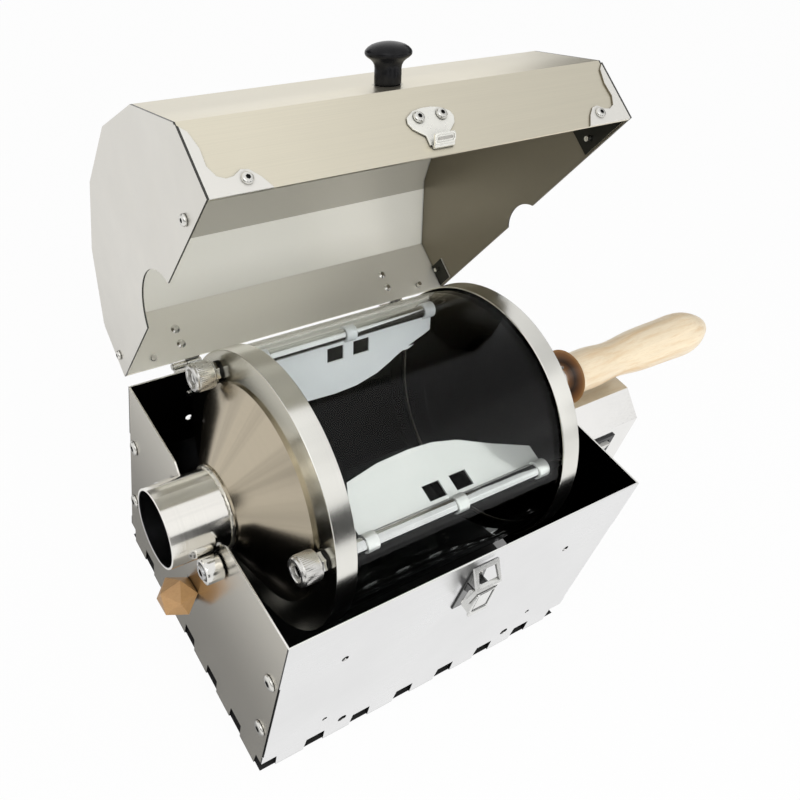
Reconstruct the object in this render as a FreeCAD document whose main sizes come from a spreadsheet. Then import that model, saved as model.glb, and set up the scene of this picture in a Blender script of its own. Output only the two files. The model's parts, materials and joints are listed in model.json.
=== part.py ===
import FreeCAD, Part
import math
import os
from types import SimpleNamespace

import Sketcher

# Home coffee bean roaster. A folded sheet metal box stands over a burner, a hinged hood covers it, and a
# glass drum turns in it on two bearings at the discharge pipe and in a bush at the other end.
#
# Frame: +X runs along the drum from its discharge pipe (-X) to its wooden handle (+X), -Y is the front with
# the latch, +Z is up. The origin is the centre of the open bottom of the box, on the surface it stands on.
# The hood stands open at rest.

# Driving sizes, in millimetres and degrees.
DRIVING = {
    # box
    "sheet": 1.0,
    "box_length": 240.0,
    "box_depth": 190.0,
    "box_height": 146.0,
    "foot_height": 12.5,
    "notch_mouth": 14.0,
    "notch_top": 12.6,
    "long_notch_inset": 3.975,
    "short_notch_inset": 0.2,
    "corner_slit": 0.7,
    "slit_bottom": 21.0,
    "slit_top": 106.0,
    "side_flange": 12.0,
    "vent_spacing": 160.0,
    "vent_height": 104.0,
    "vent_radius": 2.2,
    "low_vent_height": 32.0,
    "low_vent_radius": 1.7,
    "peg_hole_spacing": 130.0,
    "peg_hole_height": 17.5,
    "peg_hole_radius": 3.0,
    # drum line and the notches that it passes through
    "axis_drop": 9.0,
    "pipe_notch_radius": 25.0,
    "pipe_notch_flare": 31.0,
    "shaft_notch_radius": 15.8,
    "shaft_notch_flare": 18.0,
    "flare_height": 5.0,
    # heat shields
    "shield_sheet": 0.8,
    "shield_flange": 14.0,
    "shield_bend_drop": 62.0,
    "shield_foot_height": 30.0,
    "shield_foot_reach": 32.0,
    "shield_end_gap": 3.0,
    # fasteners
    "screw_radius": 1.5,
    "screw_head_radius": 2.8,
    "screw_head_height": 1.9,
    "wall_screw_head_radius": 4.7,
    "screw_length": 5.0,
    "hole_clearance": 0.1,
    "rivet_radius": 1.5,
    "rivet_head_radius": 2.8,
    "rivet_head_height": 1.1,
    "wall_screw_inset": 8.0,
    "wall_screw_high": 99.5,
    "wall_screw_low": 46.0,
    # fits
    "running_fit": 0.05,
    "free_gap": 0.3,
    # bearing rollers under the discharge pipe
    "bearing_radius": 7.5,
    "bearing_width": 5.0,
    "bearing_outer_bore": 5.2,
    "bearing_inner_rim": 4.2,
    "roller_angle": 22.0,
    "roller_bolt_radius": 2.5,
    "roller_bolt_head_radius": 4.3,
    "roller_bolt_head_height": 1.2,
    "roller_spacer": 0.7,
    "roller_nut_flats": 8.0,
    "roller_nut_height": 4.0,
    # wooden grip knob on the pipe end wall
    "grip_radius": 13.0,
    "grip_height": 62.3,
    "grip_screw_radius": 2.0,
    "grip_screw_depth": 12.0,
    "large_head_radius": 3.6,
    "large_head_height": 2.3,
    # hood
    "lid_open": 62.5,
    "lid_depth": 193.0,
    "lid_gap": 1.0,
    "lid_skirt": 35.5,
    "lid_shoulder_in": 32.0,
    "lid_shoulder_height": 68.0,
    "lid_top_in": 72.5,
    "lid_height": 86.0,
    "lid_pipe_notch_radius": 27.5,
    "lid_shaft_notch_radius": 16.3,
    "tab_sheet": 0.8,
    "tab_screw_in": 20.0,
    "tab_screw_rise": 5.5,
    "end_screw_front": 25.3,
    "end_screw_front_rise": 6.6,
    "end_screw_back": 6.6,
    "end_screw_back_rise": 11.3,
    "end_flange_long": 33.0,
    "end_flange_short": 14.0,
    "end_flange_height": 15.0,
    # hood knob
    "knob_centre": -5.8,
    "knob_along": 32.0,
    "knob_stem_radius": 6.3,
    "knob_stem": 8.5,
    "knob_radius": 10.9,
    "knob_height": 18.5,
    "knob_screw_depth": 8.0,
    # hinges
    "hinge_out": 5.7,
    "hinge_drop": 0.4,
    "hinge_left": -80.0,
    "hinge_right": 76.0,
    "leaf_width": 18.0,
    "leaf_sheet": 1.0,
    "leaf_rivet_drop": 19.6,
    "knuckle_radius": 2.5,
    "knuckle_gap": 0.3,
    "hinge_pin_radius": 1.3,
    "hinge_pin_head_radius": 1.9,
    "hinge_pin_head": 0.7,
    "rivet_pitch": 10.0,
    # latch
    "latch_base_half_width": 8.2,
    "latch_base_half_top": 5.0,
    "latch_base_below": 24.0,
    "latch_base_above": 12.0,
    "latch_rivet_inset": 4.0,
    "lever_pivot_out": 6.5,
    "lever_pivot_drop": 21.0,
    "lever_pin_radius": 1.0,
    "lever_half_width": 7.0,
    "lever_face_out": 9.2,
    "lever_above": 3.0,
    "lever_below": 17.5,
    "latch_sheet": 1.0,
    "bail_pivot_out": 7.0,
    "bail_pivot_below": 7.0,
    "bail_stub_radius": 0.9,
    "bail_half_width": 8.5,
    "bail_sheet": 1.2,
    "bail_bend_out": 10.6,
    "bail_bend_above": 7.0,
    "bail_top_out": 2.2,
    "bail_top_rise": 11.5,
    "hook_reach": 5.4,
    "hook_rise": 3.3,
    "hook_lip_rise": 7.7,
    "hook_half_width": 5.8,
    "keeper_centre": -1.0,
    "keeper_half_width": 13.2,
    "keeper_neck_half_width": 6.9,
    "keeper_height": 24.2,
    "keeper_screw_half_pitch": 6.5,
    "keeper_screw_rise": 19.4,
    # drum, measured from the middle of the box
    "drum_radius": 81.0,
    "flange_sheet": 1.5,
    "rim_sheet": 1.2,
    "front_face": 85.0,
    "front_rim": 12.5,
    "rear_face": 78.0,
    "rear_rim": 12.0,
    "flange_opening": 61.5,
    "rear_opening": 56.0,
    "gasket_sheet": 1.0,
    "glass_radius": 79.3,
    "glass_wall": 3.0,
    "pipe_radius": 22.5,
    "pipe_wall": 1.5,
    "pipe_mouth": 145.0,
    "neck_position": 109.0,
    "neck_bead": 1.8,
    "cone_base_radius": 63.2,
    "cone_lip": 1.5,
    "cone_sheet": 1.2,
    "rod_circle": 69.5,
    "rod_angle": 42.0,
    "rod_radius": 4.0,
    "rod_thread_radius": 3.0,
    "rod_front_end": 100.0,
    "rod_rear_end": 84.0,
    "washer_radius": 6.0,
    "washer_sheet": 1.0,
    "nut_flats": 10.0,
    "nut_height": 3.5,
    "thumb_radius": 8.2,
    "thumb_length": 12.0,
    "thumb_recess_radius": 5.2,
    "thumb_recess": 2.5,
    # mixing vanes
    "vane_sheet": 1.0,
    "vane_rake": 31.0,
    "vane_half_length": 62.0,
    "vane_reach": 38.0,
    "vane_end_reach": 14.0,
    "vane_window_half": 15.0,
    "vane_window_near": 6.4,
    "vane_window_far": 15.8,
    "vane_tab_half": 3.5,
    "vane_clip_width": 7.0,
    "vane_clip_sheet": 1.0,
    # drum shaft and handle
    "back_plate_sheet": 1.2,
    "back_plate_radius": 61.5,
    "hub_radius": 18.0,
    "hub_sheet": 3.0,
    "shaft_radius": 8.0,
    "stud_radius": 4.0,
    "stud_length": 26.0,
    "collar_radius": 11.0,
    "collar_length": 13.5,
    "set_screw_radius": 1.6,
    "handle_start": 152.0,
    "handle_length": 143.0,
    "handle_base_radius": 19.0,
    "handle_waist_radius": 12.9,
    "handle_grip_radius": 15.8,
    # shaft bush
    "bush_radius": 20.0,
    "bush_side": 4.0,
    # drive
    "gear_module": 2.0,
    "drum_gear_teeth": 36.0,
    "pinion_teeth": 17.0,
    "gear_play": 0.15,
    "gear_backlash": 0.3,
    "gear_start": 98.0,
    "gear_width": 8.0,
    "gear_hub_radius": 14.0,
    "gear_hub": 5.0,
    "pinion_hub_radius": 8.0,
    "motor_shaft_radius": 3.0,
    "motor_boss_radius": 6.0,
    "motor_boss": 3.0,
    "gearbox_radius": 18.5,
    "gearbox_length": 24.0,
    "motor_radius": 16.5,
    "motor_length": 30.0,
    "motor_bore_depth": 22.0,
    # motor cover, switch and power inlet
    "cover_length": 95.0,
    "cover_half_width": 31.0,
    "cover_flat_half_width": 13.5,
    "cover_below": 31.85,
    "cover_shoulder_above": 16.65,
    "cover_slope_rise": 14.5,
    "lug_width": 10.0,
    "lug_below": 23.85,
    "lug_height": 32.0,
    "switch_along": 64.0,
    "switch_below": 4.85,
    "switch_half_width": 11.0,
    "switch_half_height": 14.0,
    "switch_flange": 1.5,
    "switch_border": 2.7,
    "switch_wall": 1.0,
    "switch_depth": 14.0,
    "rocker_pivot_in": 2.5,
    "rocker_half_width": 7.0,
    "rocker_half_height": 9.2,
    "rocker_tilt": 7.0,
    "rocker_pin_radius": 1.0,
    "inlet_along": 82.0,
    "inlet_below": 17.85,
    "inlet_radius": 4.0,
    "inlet_flange_radius": 5.5,
    "inlet_bore_radius": 2.8,
}


class Size:
    """A number together with the sheet expression that gives it."""

    def __init__(self, value, text):
        self.value = float(value)
        self.text = text

    def __float__(self):
        return self.value

    def __neg__(self):
        return Size(-self.value, "(-1 * %s)" % self.text)

    def __add__(self, other):
        return combine(self, other, "+", self.value + float(other))

    def __radd__(self, other):
        return combine(other, self, "+", float(other) + self.value)

    def __sub__(self, other):
        return combine(self, other, "-", self.value - float(other))

    def __rsub__(self, other):
        return combine(other, self, "-", float(other) - self.value)

    def __mul__(self, other):
        return combine(self, other, "*", self.value * float(other))

    def __rmul__(self, other):
        return combine(other, self, "*", float(other) * self.value)

    def __truediv__(self, other):
        return combine(self, other, "/", self.value / float(other))


def as_text(value):
    """The expression text of a size or a plain number."""
    if isinstance(value, Size):
        return value.text
    return "(%r)" % float(value)


def combine(first, second, sign, value):
    """The size that two others give together."""
    return Size(value, "(%s %s %s)" % (as_text(first), sign, as_text(second)))


def sine(angle):
    return Size(math.sin(math.radians(float(angle))), "sin(%s)" % as_text(angle))


def cosine(angle):
    return Size(math.cos(math.radians(float(angle))), "cos(%s)" % as_text(angle))


def arctangent(slope):
    return Size(math.degrees(math.atan(float(slope))), "(atan(%s) / 1 deg)" % as_text(slope))


def square_root(value):
    return Size(math.sqrt(float(value)), "sqrt(%s)" % as_text(value))


doc = FreeCAD.newDocument("CoffeeRoaster")
nodes = []


def make_sheet():
    """Writes the driving sizes to the sheet and returns them as sizes."""
    sheet = doc.addObject("Spreadsheet::Sheet", "Sizes")
    for row, (name, value) in enumerate(DRIVING.items(), start=1):
        sheet.set("A%d" % row, name)
        sheet.set("B%d" % row, repr(value))
        sheet.setAlias("B%d" % row, name)
    doc.recompute()
    return SimpleNamespace(**{name: Size(value, "Sizes." + name) for name, value in DRIVING.items()})


d = make_sheet()

# Planes and lines that many pieces share.
half_length = d.box_length / 2
half_depth = d.box_depth / 2
wall_inside = half_length - d.sheet
front = -half_depth
screw_hole = d.screw_radius + d.hole_clearance
rivet_hole = d.rivet_radius + d.hole_clearance
grip_hole = d.grip_screw_radius + d.hole_clearance
hinge_y = half_depth + d.hinge_out
hinge_z = d.box_height - d.hinge_drop
rim_z = d.box_height + d.lid_gap
lid_back = d.lid_depth / 2
lid_front = -d.lid_depth / 2
axis_z = d.box_height - d.axis_drop
roller_distance = d.pipe_radius + d.bearing_radius + d.running_fit
roller_y = roller_distance * cosine(d.roller_angle)
roller_z = axis_z - roller_distance * sine(d.roller_angle)
gear_distance = d.gear_module * (d.drum_gear_teeth + d.pinion_teeth) / 2 + d.gear_play
motor_z = axis_z - gear_distance
cover_bottom = motor_z - d.cover_below
cover_shoulder = motor_z + d.cover_shoulder_above
cover_top = cover_shoulder + d.cover_slope_rise
lug_bottom = motor_z - d.lug_below
switch_z = motor_z - d.switch_below
inlet_z = motor_z - d.inlet_below
leaf_rivet_low = hinge_z - d.leaf_rivet_drop
shield_bend = d.box_height - d.shield_bend_drop
shield_top = shield_bend + d.shield_flange
lever_pivot_z = d.box_height - d.lever_pivot_drop
bail_pivot_z = lever_pivot_z - d.bail_pivot_below
latch_base_bottom = lever_pivot_z - d.latch_base_below
latch_base_top = lever_pivot_z + d.latch_base_above
lever_top = lever_pivot_z + d.lever_above
lever_bottom = lever_pivot_z - d.lever_below
bail_bend_z = lever_pivot_z + d.bail_bend_above
bail_top = bail_bend_z + d.bail_top_rise
pipe_inside = d.pipe_radius - d.pipe_wall
rod_hole = d.rod_thread_radius + d.hole_clearance
switch_x = half_length + d.switch_along
rocker_y = -d.cover_half_width + d.rocker_pivot_in


# ---------------------------------------------------------------- helpers

def bind(owner, name, value):
    """Ties a property to the sheet when its value comes from there."""
    if isinstance(value, Size):
        owner.setExpression(name, value.text)


def new_body(name, exported=True):
    body = doc.addObject("PartDesign::Body", name)
    body.Label = name
    if exported:
        nodes.append(body)
    return body


def new_sketch(body, role, offset=0.0):
    """A sketch on one of the body's origin planes, moved along the plane's normal."""
    planes = [plane for plane in body.Origin.OriginFeatures if plane.Role == role]
    sketch = body.newObject("Sketcher::SketchObject", body.Name + "_sketch")
    sketch.AttachmentSupport = [(planes[0], "")]
    sketch.MapMode = "FlatFace"
    sketch.AttachmentOffset = FreeCAD.Placement(FreeCAD.Vector(0, 0, float(offset)), FreeCAD.Rotation())
    bind(sketch, "AttachmentOffset.Base.z", offset)
    return sketch


def fix_point(sketch, index, end, x, y):
    """Places a point of a sketch by its two coordinates."""
    for kind, value in (("DistanceX", x), ("DistanceY", y)):
        constraint = sketch.addConstraint(Sketcher.Constraint(kind, -1, 1, index, end, float(value)))
        bind(sketch, "Constraints[%d]" % constraint, value)


def add_polygon(sketch, points):
    first = sketch.GeometryCount
    corners = [FreeCAD.Vector(float(x), float(y), 0) for x, y in points]
    following = corners[1:] + corners[:1]
    for corner, after in zip(corners, following):
        sketch.addGeometry(Part.LineSegment(corner, after), False)
    for index in range(len(points)):
        after = (index + 1) % len(points)
        sketch.addConstraint(Sketcher.Constraint("Coincident", first + index, 2, first + after, 1))
    for index, (x, y) in enumerate(points):
        fix_point(sketch, first + index, 1, x, y)


def add_rectangle(sketch, left, right, bottom, top):
    add_polygon(sketch, [(left, bottom), (right, bottom), (right, top), (left, top)])


def add_circle(sketch, x, y, radius):
    circle = Part.Circle(FreeCAD.Vector(float(x), float(y), 0), FreeCAD.Vector(0, 0, 1), float(radius))
    index = sketch.addGeometry(circle, False)
    fix_point(sketch, index, 3, x, y)
    constraint = sketch.addConstraint(Sketcher.Constraint("Radius", index, float(radius)))
    bind(sketch, "Constraints[%d]" % constraint, radius)


def pad(body, sketch, length, symmetric=False):
    feature = body.newObject("PartDesign::Pad", body.Name + "_pad")
    feature.Profile = sketch
    feature.Length = float(length)
    bind(feature, "Length", length)
    if symmetric:
        feature.SideType = "Symmetric"
    return feature


def cut(body, sketch, depth=None, forward=False):
    """Pockets a sketch through everything, or to a depth against or along the sketch's normal."""
    feature = body.newObject("PartDesign::Pocket", body.Name + "_cut")
    feature.Profile = sketch
    if depth is None:
        feature.Type = "ThroughAll"
        feature.SideType = "Symmetric"
        return feature
    feature.Length = float(depth)
    feature.Reversed = forward
    bind(feature, "Length", depth)
    return feature


def revolve(body, points, role="XZ_Plane", axis="H_Axis"):
    """Turns a closed outline once about an axis of its sketch."""
    sketch = new_sketch(body, role)
    add_polygon(sketch, points)
    feature = body.newObject("PartDesign::Revolution", body.Name + "_turn")
    feature.Profile = sketch
    feature.ReferenceAxis = (sketch, [axis])
    feature.Angle = 360
    return feature


def repeat_round(body, feature, sketch, count):
    """Repeats a feature about the normal of its sketch."""
    pattern = body.newObject("PartDesign::PolarPattern", body.Name + "_ring")
    pattern.Originals = [feature]
    pattern.Axis = (sketch, ["N_Axis"])
    pattern.Angle = 360
    pattern.Occurrences = count
    body.Tip = pattern


def repeat_along(body, feature, sketch, count, length):
    """Repeats a feature along the horizontal axis of its sketch."""
    pattern = body.newObject("PartDesign::LinearPattern", body.Name + "_row")
    pattern.Originals = [feature]
    pattern.Direction = (sketch, ["H_Axis"])
    pattern.Length = float(length)
    pattern.Occurrences = count
    bind(pattern, "Length", length)
    body.Tip = pattern


def place(item, x=0.0, y=0.0, z=0.0, axis=(1, 0, 0), angle=0.0):
    """Moves an object, and turns it about an axis through its own origin."""
    rotation = FreeCAD.Rotation(FreeCAD.Vector(*axis), float(angle))
    item.Placement = FreeCAD.Placement(FreeCAD.Vector(float(x), float(y), float(z)), rotation)
    for name, value in (("x", x), ("y", y), ("z", z)):
        bind(item, "Placement.Base." + name, value)
    bind(item, "Placement.Rotation.Angle", angle)


def copies(name, template, spots):
    """A node of separate solids: the template at each spot of x, y, z, axis and angle."""
    links = []
    for number, spot in enumerate(spots, start=1):
        link = doc.addObject("App::Link", "%s_%d" % (name, number))
        link.LinkedObject = template
        place(link, *spot)
        links.append(link)
    group = doc.addObject("Part::Compound", name)
    group.Label = name
    group.Links = links
    nodes.append(group)
    return group


def swing(y, z):
    """Where a point of the closed hood lies when the hood stands open."""
    across = y - hinge_y
    up = z - hinge_z
    turned_y = hinge_y + across * cosine(d.lid_open) + up * sine(d.lid_open)
    turned_z = hinge_z - across * sine(d.lid_open) + up * cosine(d.lid_open)
    return turned_y, turned_z


def swing_open(item):
    """Hood pieces are drawn closed and then swung open about the hinge pins."""
    y, z = swing(0.0, 0.0)
    place(item, 0.0, y, z, (1, 0, 0), -d.lid_open)


def lift_to_axis(item):
    """Drum pieces are drawn about the X axis and then raised to the drum line."""
    place(item, 0.0, 0.0, axis_z)


# Directions that a fastener's head can face, as an axis and an angle that turn +X that way.
TO_RIGHT = ((1, 0, 0), 0.0)
TO_LEFT = ((0, 0, 1), 180.0)
TO_FRONT = ((0, 0, 1), -90.0)
TO_BACK = ((0, 0, 1), 90.0)


# ---------------------------------------------------------------- fasteners drawn once

def make_pan_screw(name, radius, head_radius, head_height, length):
    """Its head faces +X and its shank runs back from x = 0."""
    body = new_body(name, exported=False)
    crown = head_radius / 2
    edge = head_height / 2
    revolve(body, [(-length, 0), (-length, radius), (0, radius), (0, head_radius), (edge, head_radius),
                   (head_height, crown), (head_height, 0)])
    return body


def make_rivet():
    """Its outer head starts at x = 0 and it grips one wall sheet and one leaf."""
    body = new_body("rivet", exported=False)
    grip = d.sheet + d.leaf_sheet
    crown = d.rivet_head_radius / 2
    outer = d.rivet_head_height
    inner = -grip - d.rivet_head_height
    revolve(body, [(inner, 0), (inner, crown), (-grip, d.rivet_head_radius), (-grip, d.rivet_radius),
                   (0, d.rivet_radius), (0, d.rivet_head_radius), (outer, crown), (outer, 0)])
    return body


def make_nut(name, flats, bore, height):
    """A hexagon nut from x = 0 towards +X."""
    body = new_body(name, exported=False)
    sketch = new_sketch(body, "YZ_Plane")
    corner = flats / (2 * cosine(30.0))
    add_polygon(sketch, [(corner * cosine(60.0 * k), corner * sine(60.0 * k)) for k in range(6)])
    add_circle(sketch, 0.0, 0.0, bore)
    pad(body, sketch, height)
    return body


# ---------------------------------------------------------------- box

def cut_feet(body, role, offset, reach, count):
    """Cuts notches from -reach to reach, which leave feet along the bottom edge of a wall."""
    sketch = new_sketch(body, role, offset)
    mouth = d.notch_mouth / 2
    top = d.notch_top / 2
    add_polygon(sketch, [(-reach - mouth, -d.sheet), (mouth - reach, -d.sheet), (mouth - reach, 0),
                         (top - reach, d.foot_height), (-reach - top, d.foot_height), (-reach - mouth, 0)])
    notch = cut(body, sketch)
    repeat_along(body, notch, sketch, count, 2 * reach)


def cut_axle_notch(body, radius, flare):
    """Cuts the open-topped notch that the drum is lowered into."""
    round_part = new_sketch(body, "YZ_Plane")
    add_circle(round_part, 0.0, axis_z, radius)
    cut(body, round_part)
    mouth = new_sketch(body, "YZ_Plane")
    shoulder = d.box_height - d.flare_height
    above = d.box_height + d.sheet
    add_polygon(mouth, [(-radius, axis_z), (radius, axis_z), (radius, shoulder),
                        (flare, d.box_height), (flare, above), (-flare, above), (-flare, d.box_height),
                        (-radius, shoulder)])
    cut(body, mouth)


def make_end_wall(name, start, notch_radius, notch_flare, holes):
    """A wall across the end of the box, from x = start towards +X."""
    body = new_body(name)
    plate = new_sketch(body, "YZ_Plane", start)
    add_rectangle(plate, front + d.sheet, -front - d.sheet, 0.0, d.box_height)
    pad(body, plate, d.sheet)
    drilled = new_sketch(body, "YZ_Plane")
    for y in (front + d.wall_screw_inset, -front - d.wall_screw_inset):
        for z in (d.wall_screw_low, d.wall_screw_high):
            add_circle(drilled, y, z, screw_hole)
    for y, z, radius in holes:
        add_circle(drilled, y, z, radius)
    cut(body, drilled)
    cut_axle_notch(body, notch_radius, notch_flare)
    cut_feet(body, "YZ_Plane", 0.0, half_depth - d.short_notch_inset, 7)


def make_long_wall(name, side, holes):
    """The front (side -1) or back (side +1) wall with its two flanges inside the end walls."""
    body = new_body(name)
    outer = half_depth if side < 0 else -half_depth + d.sheet
    inner = outer - d.sheet
    plate = new_sketch(body, "XZ_Plane", inner)
    slit = half_length - d.corner_slit
    add_polygon(plate, [(-half_length, 0), (half_length, 0), (half_length, d.slit_bottom),
                        (slit, d.slit_bottom), (slit, d.slit_top), (half_length, d.slit_top),
                        (half_length, d.box_height), (-half_length, d.box_height),
                        (-half_length, d.slit_top), (-slit, d.slit_top), (-slit, d.slit_bottom),
                        (-half_length, d.slit_bottom)])
    pad(body, plate, d.sheet)
    reach = half_depth - d.sheet - d.side_flange
    for start in (-wall_inside, wall_inside - d.sheet):
        flange = new_sketch(body, "YZ_Plane", start)
        near, far = sorted((side * reach, side * (half_depth - d.sheet)), key=float)
        add_rectangle(flange, near, far, d.slit_bottom, d.slit_top)
        pad(body, flange, d.sheet)
    screws = new_sketch(body, "YZ_Plane")
    for z in (d.wall_screw_low, d.wall_screw_high):
        add_circle(screws, side * (half_depth - d.wall_screw_inset), z, screw_hole)
    cut(body, screws)
    drilled = new_sketch(body, "XZ_Plane")
    for x in (-d.vent_spacing / 2, d.vent_spacing / 2):
        add_circle(drilled, x, d.vent_height, d.vent_radius)
        add_circle(drilled, x, d.low_vent_height, d.low_vent_radius)
    for x in (-d.peg_hole_spacing / 2, d.peg_hole_spacing / 2):
        add_circle(drilled, x, d.peg_hole_height, d.peg_hole_radius)
    for x, z, radius in holes:
        add_circle(drilled, x, z, radius)
    cut(body, drilled)
    cut_feet(body, "XZ_Plane", 0.0, half_length - d.long_notch_inset, 8)


def make_heat_shield(name, side):
    """A bent sheet on the inside of a long wall that leans in under the drum."""
    body = new_body(name)
    sketch = new_sketch(body, "YZ_Plane")
    wall = half_depth - d.sheet
    face = wall - d.shield_sheet
    foot = wall - d.shield_foot_reach
    outline = [(wall, shield_top), (wall, shield_bend), (foot, d.shield_foot_height),
               (foot - d.shield_sheet, d.shield_foot_height), (face, shield_bend), (face, shield_top)]
    add_polygon(sketch, [(side * y, z) for y, z in outline])
    pad(body, sketch, d.box_length - 4 * d.sheet - 2 * d.shield_end_gap, symmetric=True)


def make_box():
    """The four walls, their heat shields and their screws."""
    left_holes = [(-roller_y, roller_z, d.roller_bolt_radius + d.hole_clearance),
                  (roller_y, roller_z, d.roller_bolt_radius + d.hole_clearance),
                  (0.0, d.grip_height, grip_hole)]
    right_holes = [(0.0, motor_z, d.motor_boss_radius + d.hole_clearance)]
    right_holes += [(y, z, screw_hole) for y, z in lug_screw_spots()]
    latch_holes = [(0.0, z, rivet_hole) for z in latch_rivet_heights()]
    hinge_holes = [(x, z, rivet_hole) for x in (d.hinge_left, d.hinge_right)
                   for z in (leaf_rivet_low, leaf_rivet_low + d.rivet_pitch)]
    make_end_wall("left_end_wall", -half_length, d.pipe_notch_radius, d.pipe_notch_flare, left_holes)
    make_end_wall("right_end_wall", wall_inside, d.shaft_notch_radius, d.shaft_notch_flare, right_holes)
    make_long_wall("front_wall", -1, latch_holes)
    make_long_wall("back_wall", 1, hinge_holes)
    make_heat_shield("front_heat_shield", -1)
    make_heat_shield("back_heat_shield", 1)
    spots = []
    for x, facing in ((-half_length, TO_LEFT), (half_length, TO_RIGHT)):
        for y in (front + d.wall_screw_inset, -front - d.wall_screw_inset):
            for z in (d.wall_screw_low, d.wall_screw_high):
                spots.append((x, y, z) + facing)
    copies("wall_screws", wall_screw, spots)


# ---------------------------------------------------------------- rollers and grip knob on the pipe end

def make_ring(name, bore, radius):
    """One ring of a ball bearing, from x = 0 towards -X."""
    body = new_body(name, exported=False)
    revolve(body, [(-d.bearing_width, bore), (-d.bearing_width, radius), (0, radius), (0, bore)])
    return body


def make_rollers():
    """Two bearings side by side on each of two bolts carry the discharge pipe."""
    outer_ring = make_ring("bearing_outer_ring", d.bearing_outer_bore, d.bearing_radius)
    inner_ring = make_ring("bearing_inner_ring", d.roller_bolt_radius, d.bearing_inner_rim)
    first = -half_length - d.roller_spacer
    places = (first, first - d.bearing_width)
    for name, y in (("front_roller", -roller_y), ("back_roller", roller_y)):
        copies(name, outer_ring, [(x, y, roller_z) for x in places])
    inner_spots = [(x, y, roller_z) for y in (-roller_y, roller_y) for x in places]
    copies("roller_inner_rings", inner_ring, inner_spots)

    stack = d.roller_spacer + 2 * d.bearing_width
    bolt = new_body("roller_bolt", exported=False)
    shank = stack + d.sheet + d.roller_nut_height + d.sheet
    step = d.bearing_inner_rim - d.free_gap
    revolve(bolt, [(-shank, 0), (-shank, d.roller_bolt_radius), (-stack, d.roller_bolt_radius),
                   (-stack, step), (-stack + d.roller_spacer, step),
                   (-stack + d.roller_spacer, d.roller_bolt_radius), (0, d.roller_bolt_radius),
                   (0, d.roller_bolt_head_radius), (d.roller_bolt_head_height, d.roller_bolt_head_radius),
                   (d.roller_bolt_head_height, 0)])
    bolt_x = -half_length - stack
    copies("roller_bolts", bolt, [(bolt_x, y, roller_z) + TO_LEFT for y in (-roller_y, roller_y)])
    nut = make_nut("roller_nut", d.roller_nut_flats, d.roller_bolt_radius, d.roller_nut_height)
    copies("roller_nuts", nut, [(-wall_inside, y, roller_z) for y in (-roller_y, roller_y)])


def icosahedron(radius):
    """A solid with twenty triangular faces, one of them square to +X."""
    golden = (1 + math.sqrt(5)) / 2
    scale = radius / math.hypot(1, golden)
    corners = []
    for a in (-scale, scale):
        for b in (-scale * golden, scale * golden):
            corners += [FreeCAD.Vector(0, a, b), FreeCAD.Vector(a, b, 0), FreeCAD.Vector(b, 0, a)]
    edge = 2 * scale
    faces = []
    for i, first in enumerate(corners):
        for j in range(i + 1, len(corners)):
            for k in range(j + 1, len(corners)):
                trio = [first, corners[j], corners[k]]
                sides = [trio[n].distanceToPoint(trio[n - 1]) for n in range(3)]
                if all(abs(side - edge) < edge / 1000 for side in sides):
                    faces.append(trio)
    facing = (faces[0][0] + faces[0][1] + faces[0][2]).normalize()
    turn = FreeCAD.Rotation(facing, FreeCAD.Vector(1, 0, 0))
    shells = []
    for trio in faces:
        points = [turn.multVec(corner) for corner in trio]
        shells.append(Part.Face(Part.makePolygon(points + points[:1])))
    return Part.makeSolid(Part.makeShell(shells))


def make_grip_knob():
    """The faceted wooden knob and the screw that holds it from inside the box."""
    radius = float(d.grip_radius)
    blank = icosahedron(radius)
    seat = blank.BoundBox.XMax
    depth = float(d.grip_screw_depth)
    along = FreeCAD.Vector(1, 0, 0)
    bore = Part.makeCylinder(float(grip_hole), depth, along * (seat - depth), along)
    knob = doc.addObject("Part::Feature", "wooden_knob")
    knob.Label = "wooden_knob"
    knob.Shape = blank.cut(bore)
    nodes.append(knob)
    place(knob, -float(half_length) - seat, 0.0, float(d.grip_height))
    screw = make_pan_screw("grip_screw", d.grip_screw_radius, d.large_head_radius, d.large_head_height,
                           d.sheet + d.grip_screw_depth - d.free_gap)
    copies("wooden_knob_screw", screw, [(-wall_inside, 0.0, d.grip_height) + TO_RIGHT])


# ---------------------------------------------------------------- hood

def lid_outline():
    """The hood's outline in Y and Z, closed, from the back rim over the top to the front rim."""
    shoulder_z = rim_z + d.lid_shoulder_height
    top_z = rim_z + d.lid_height
    half_outline = [(0.0, rim_z), (0.0, rim_z + d.lid_skirt), (d.lid_shoulder_in, shoulder_z),
                    (d.lid_top_in, top_z)]
    back_side = [(lid_back - inset, z) for inset, z in half_outline]
    front_side = [(lid_front + inset, z) for inset, z in reversed(half_outline)]
    return back_side + front_side


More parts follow.
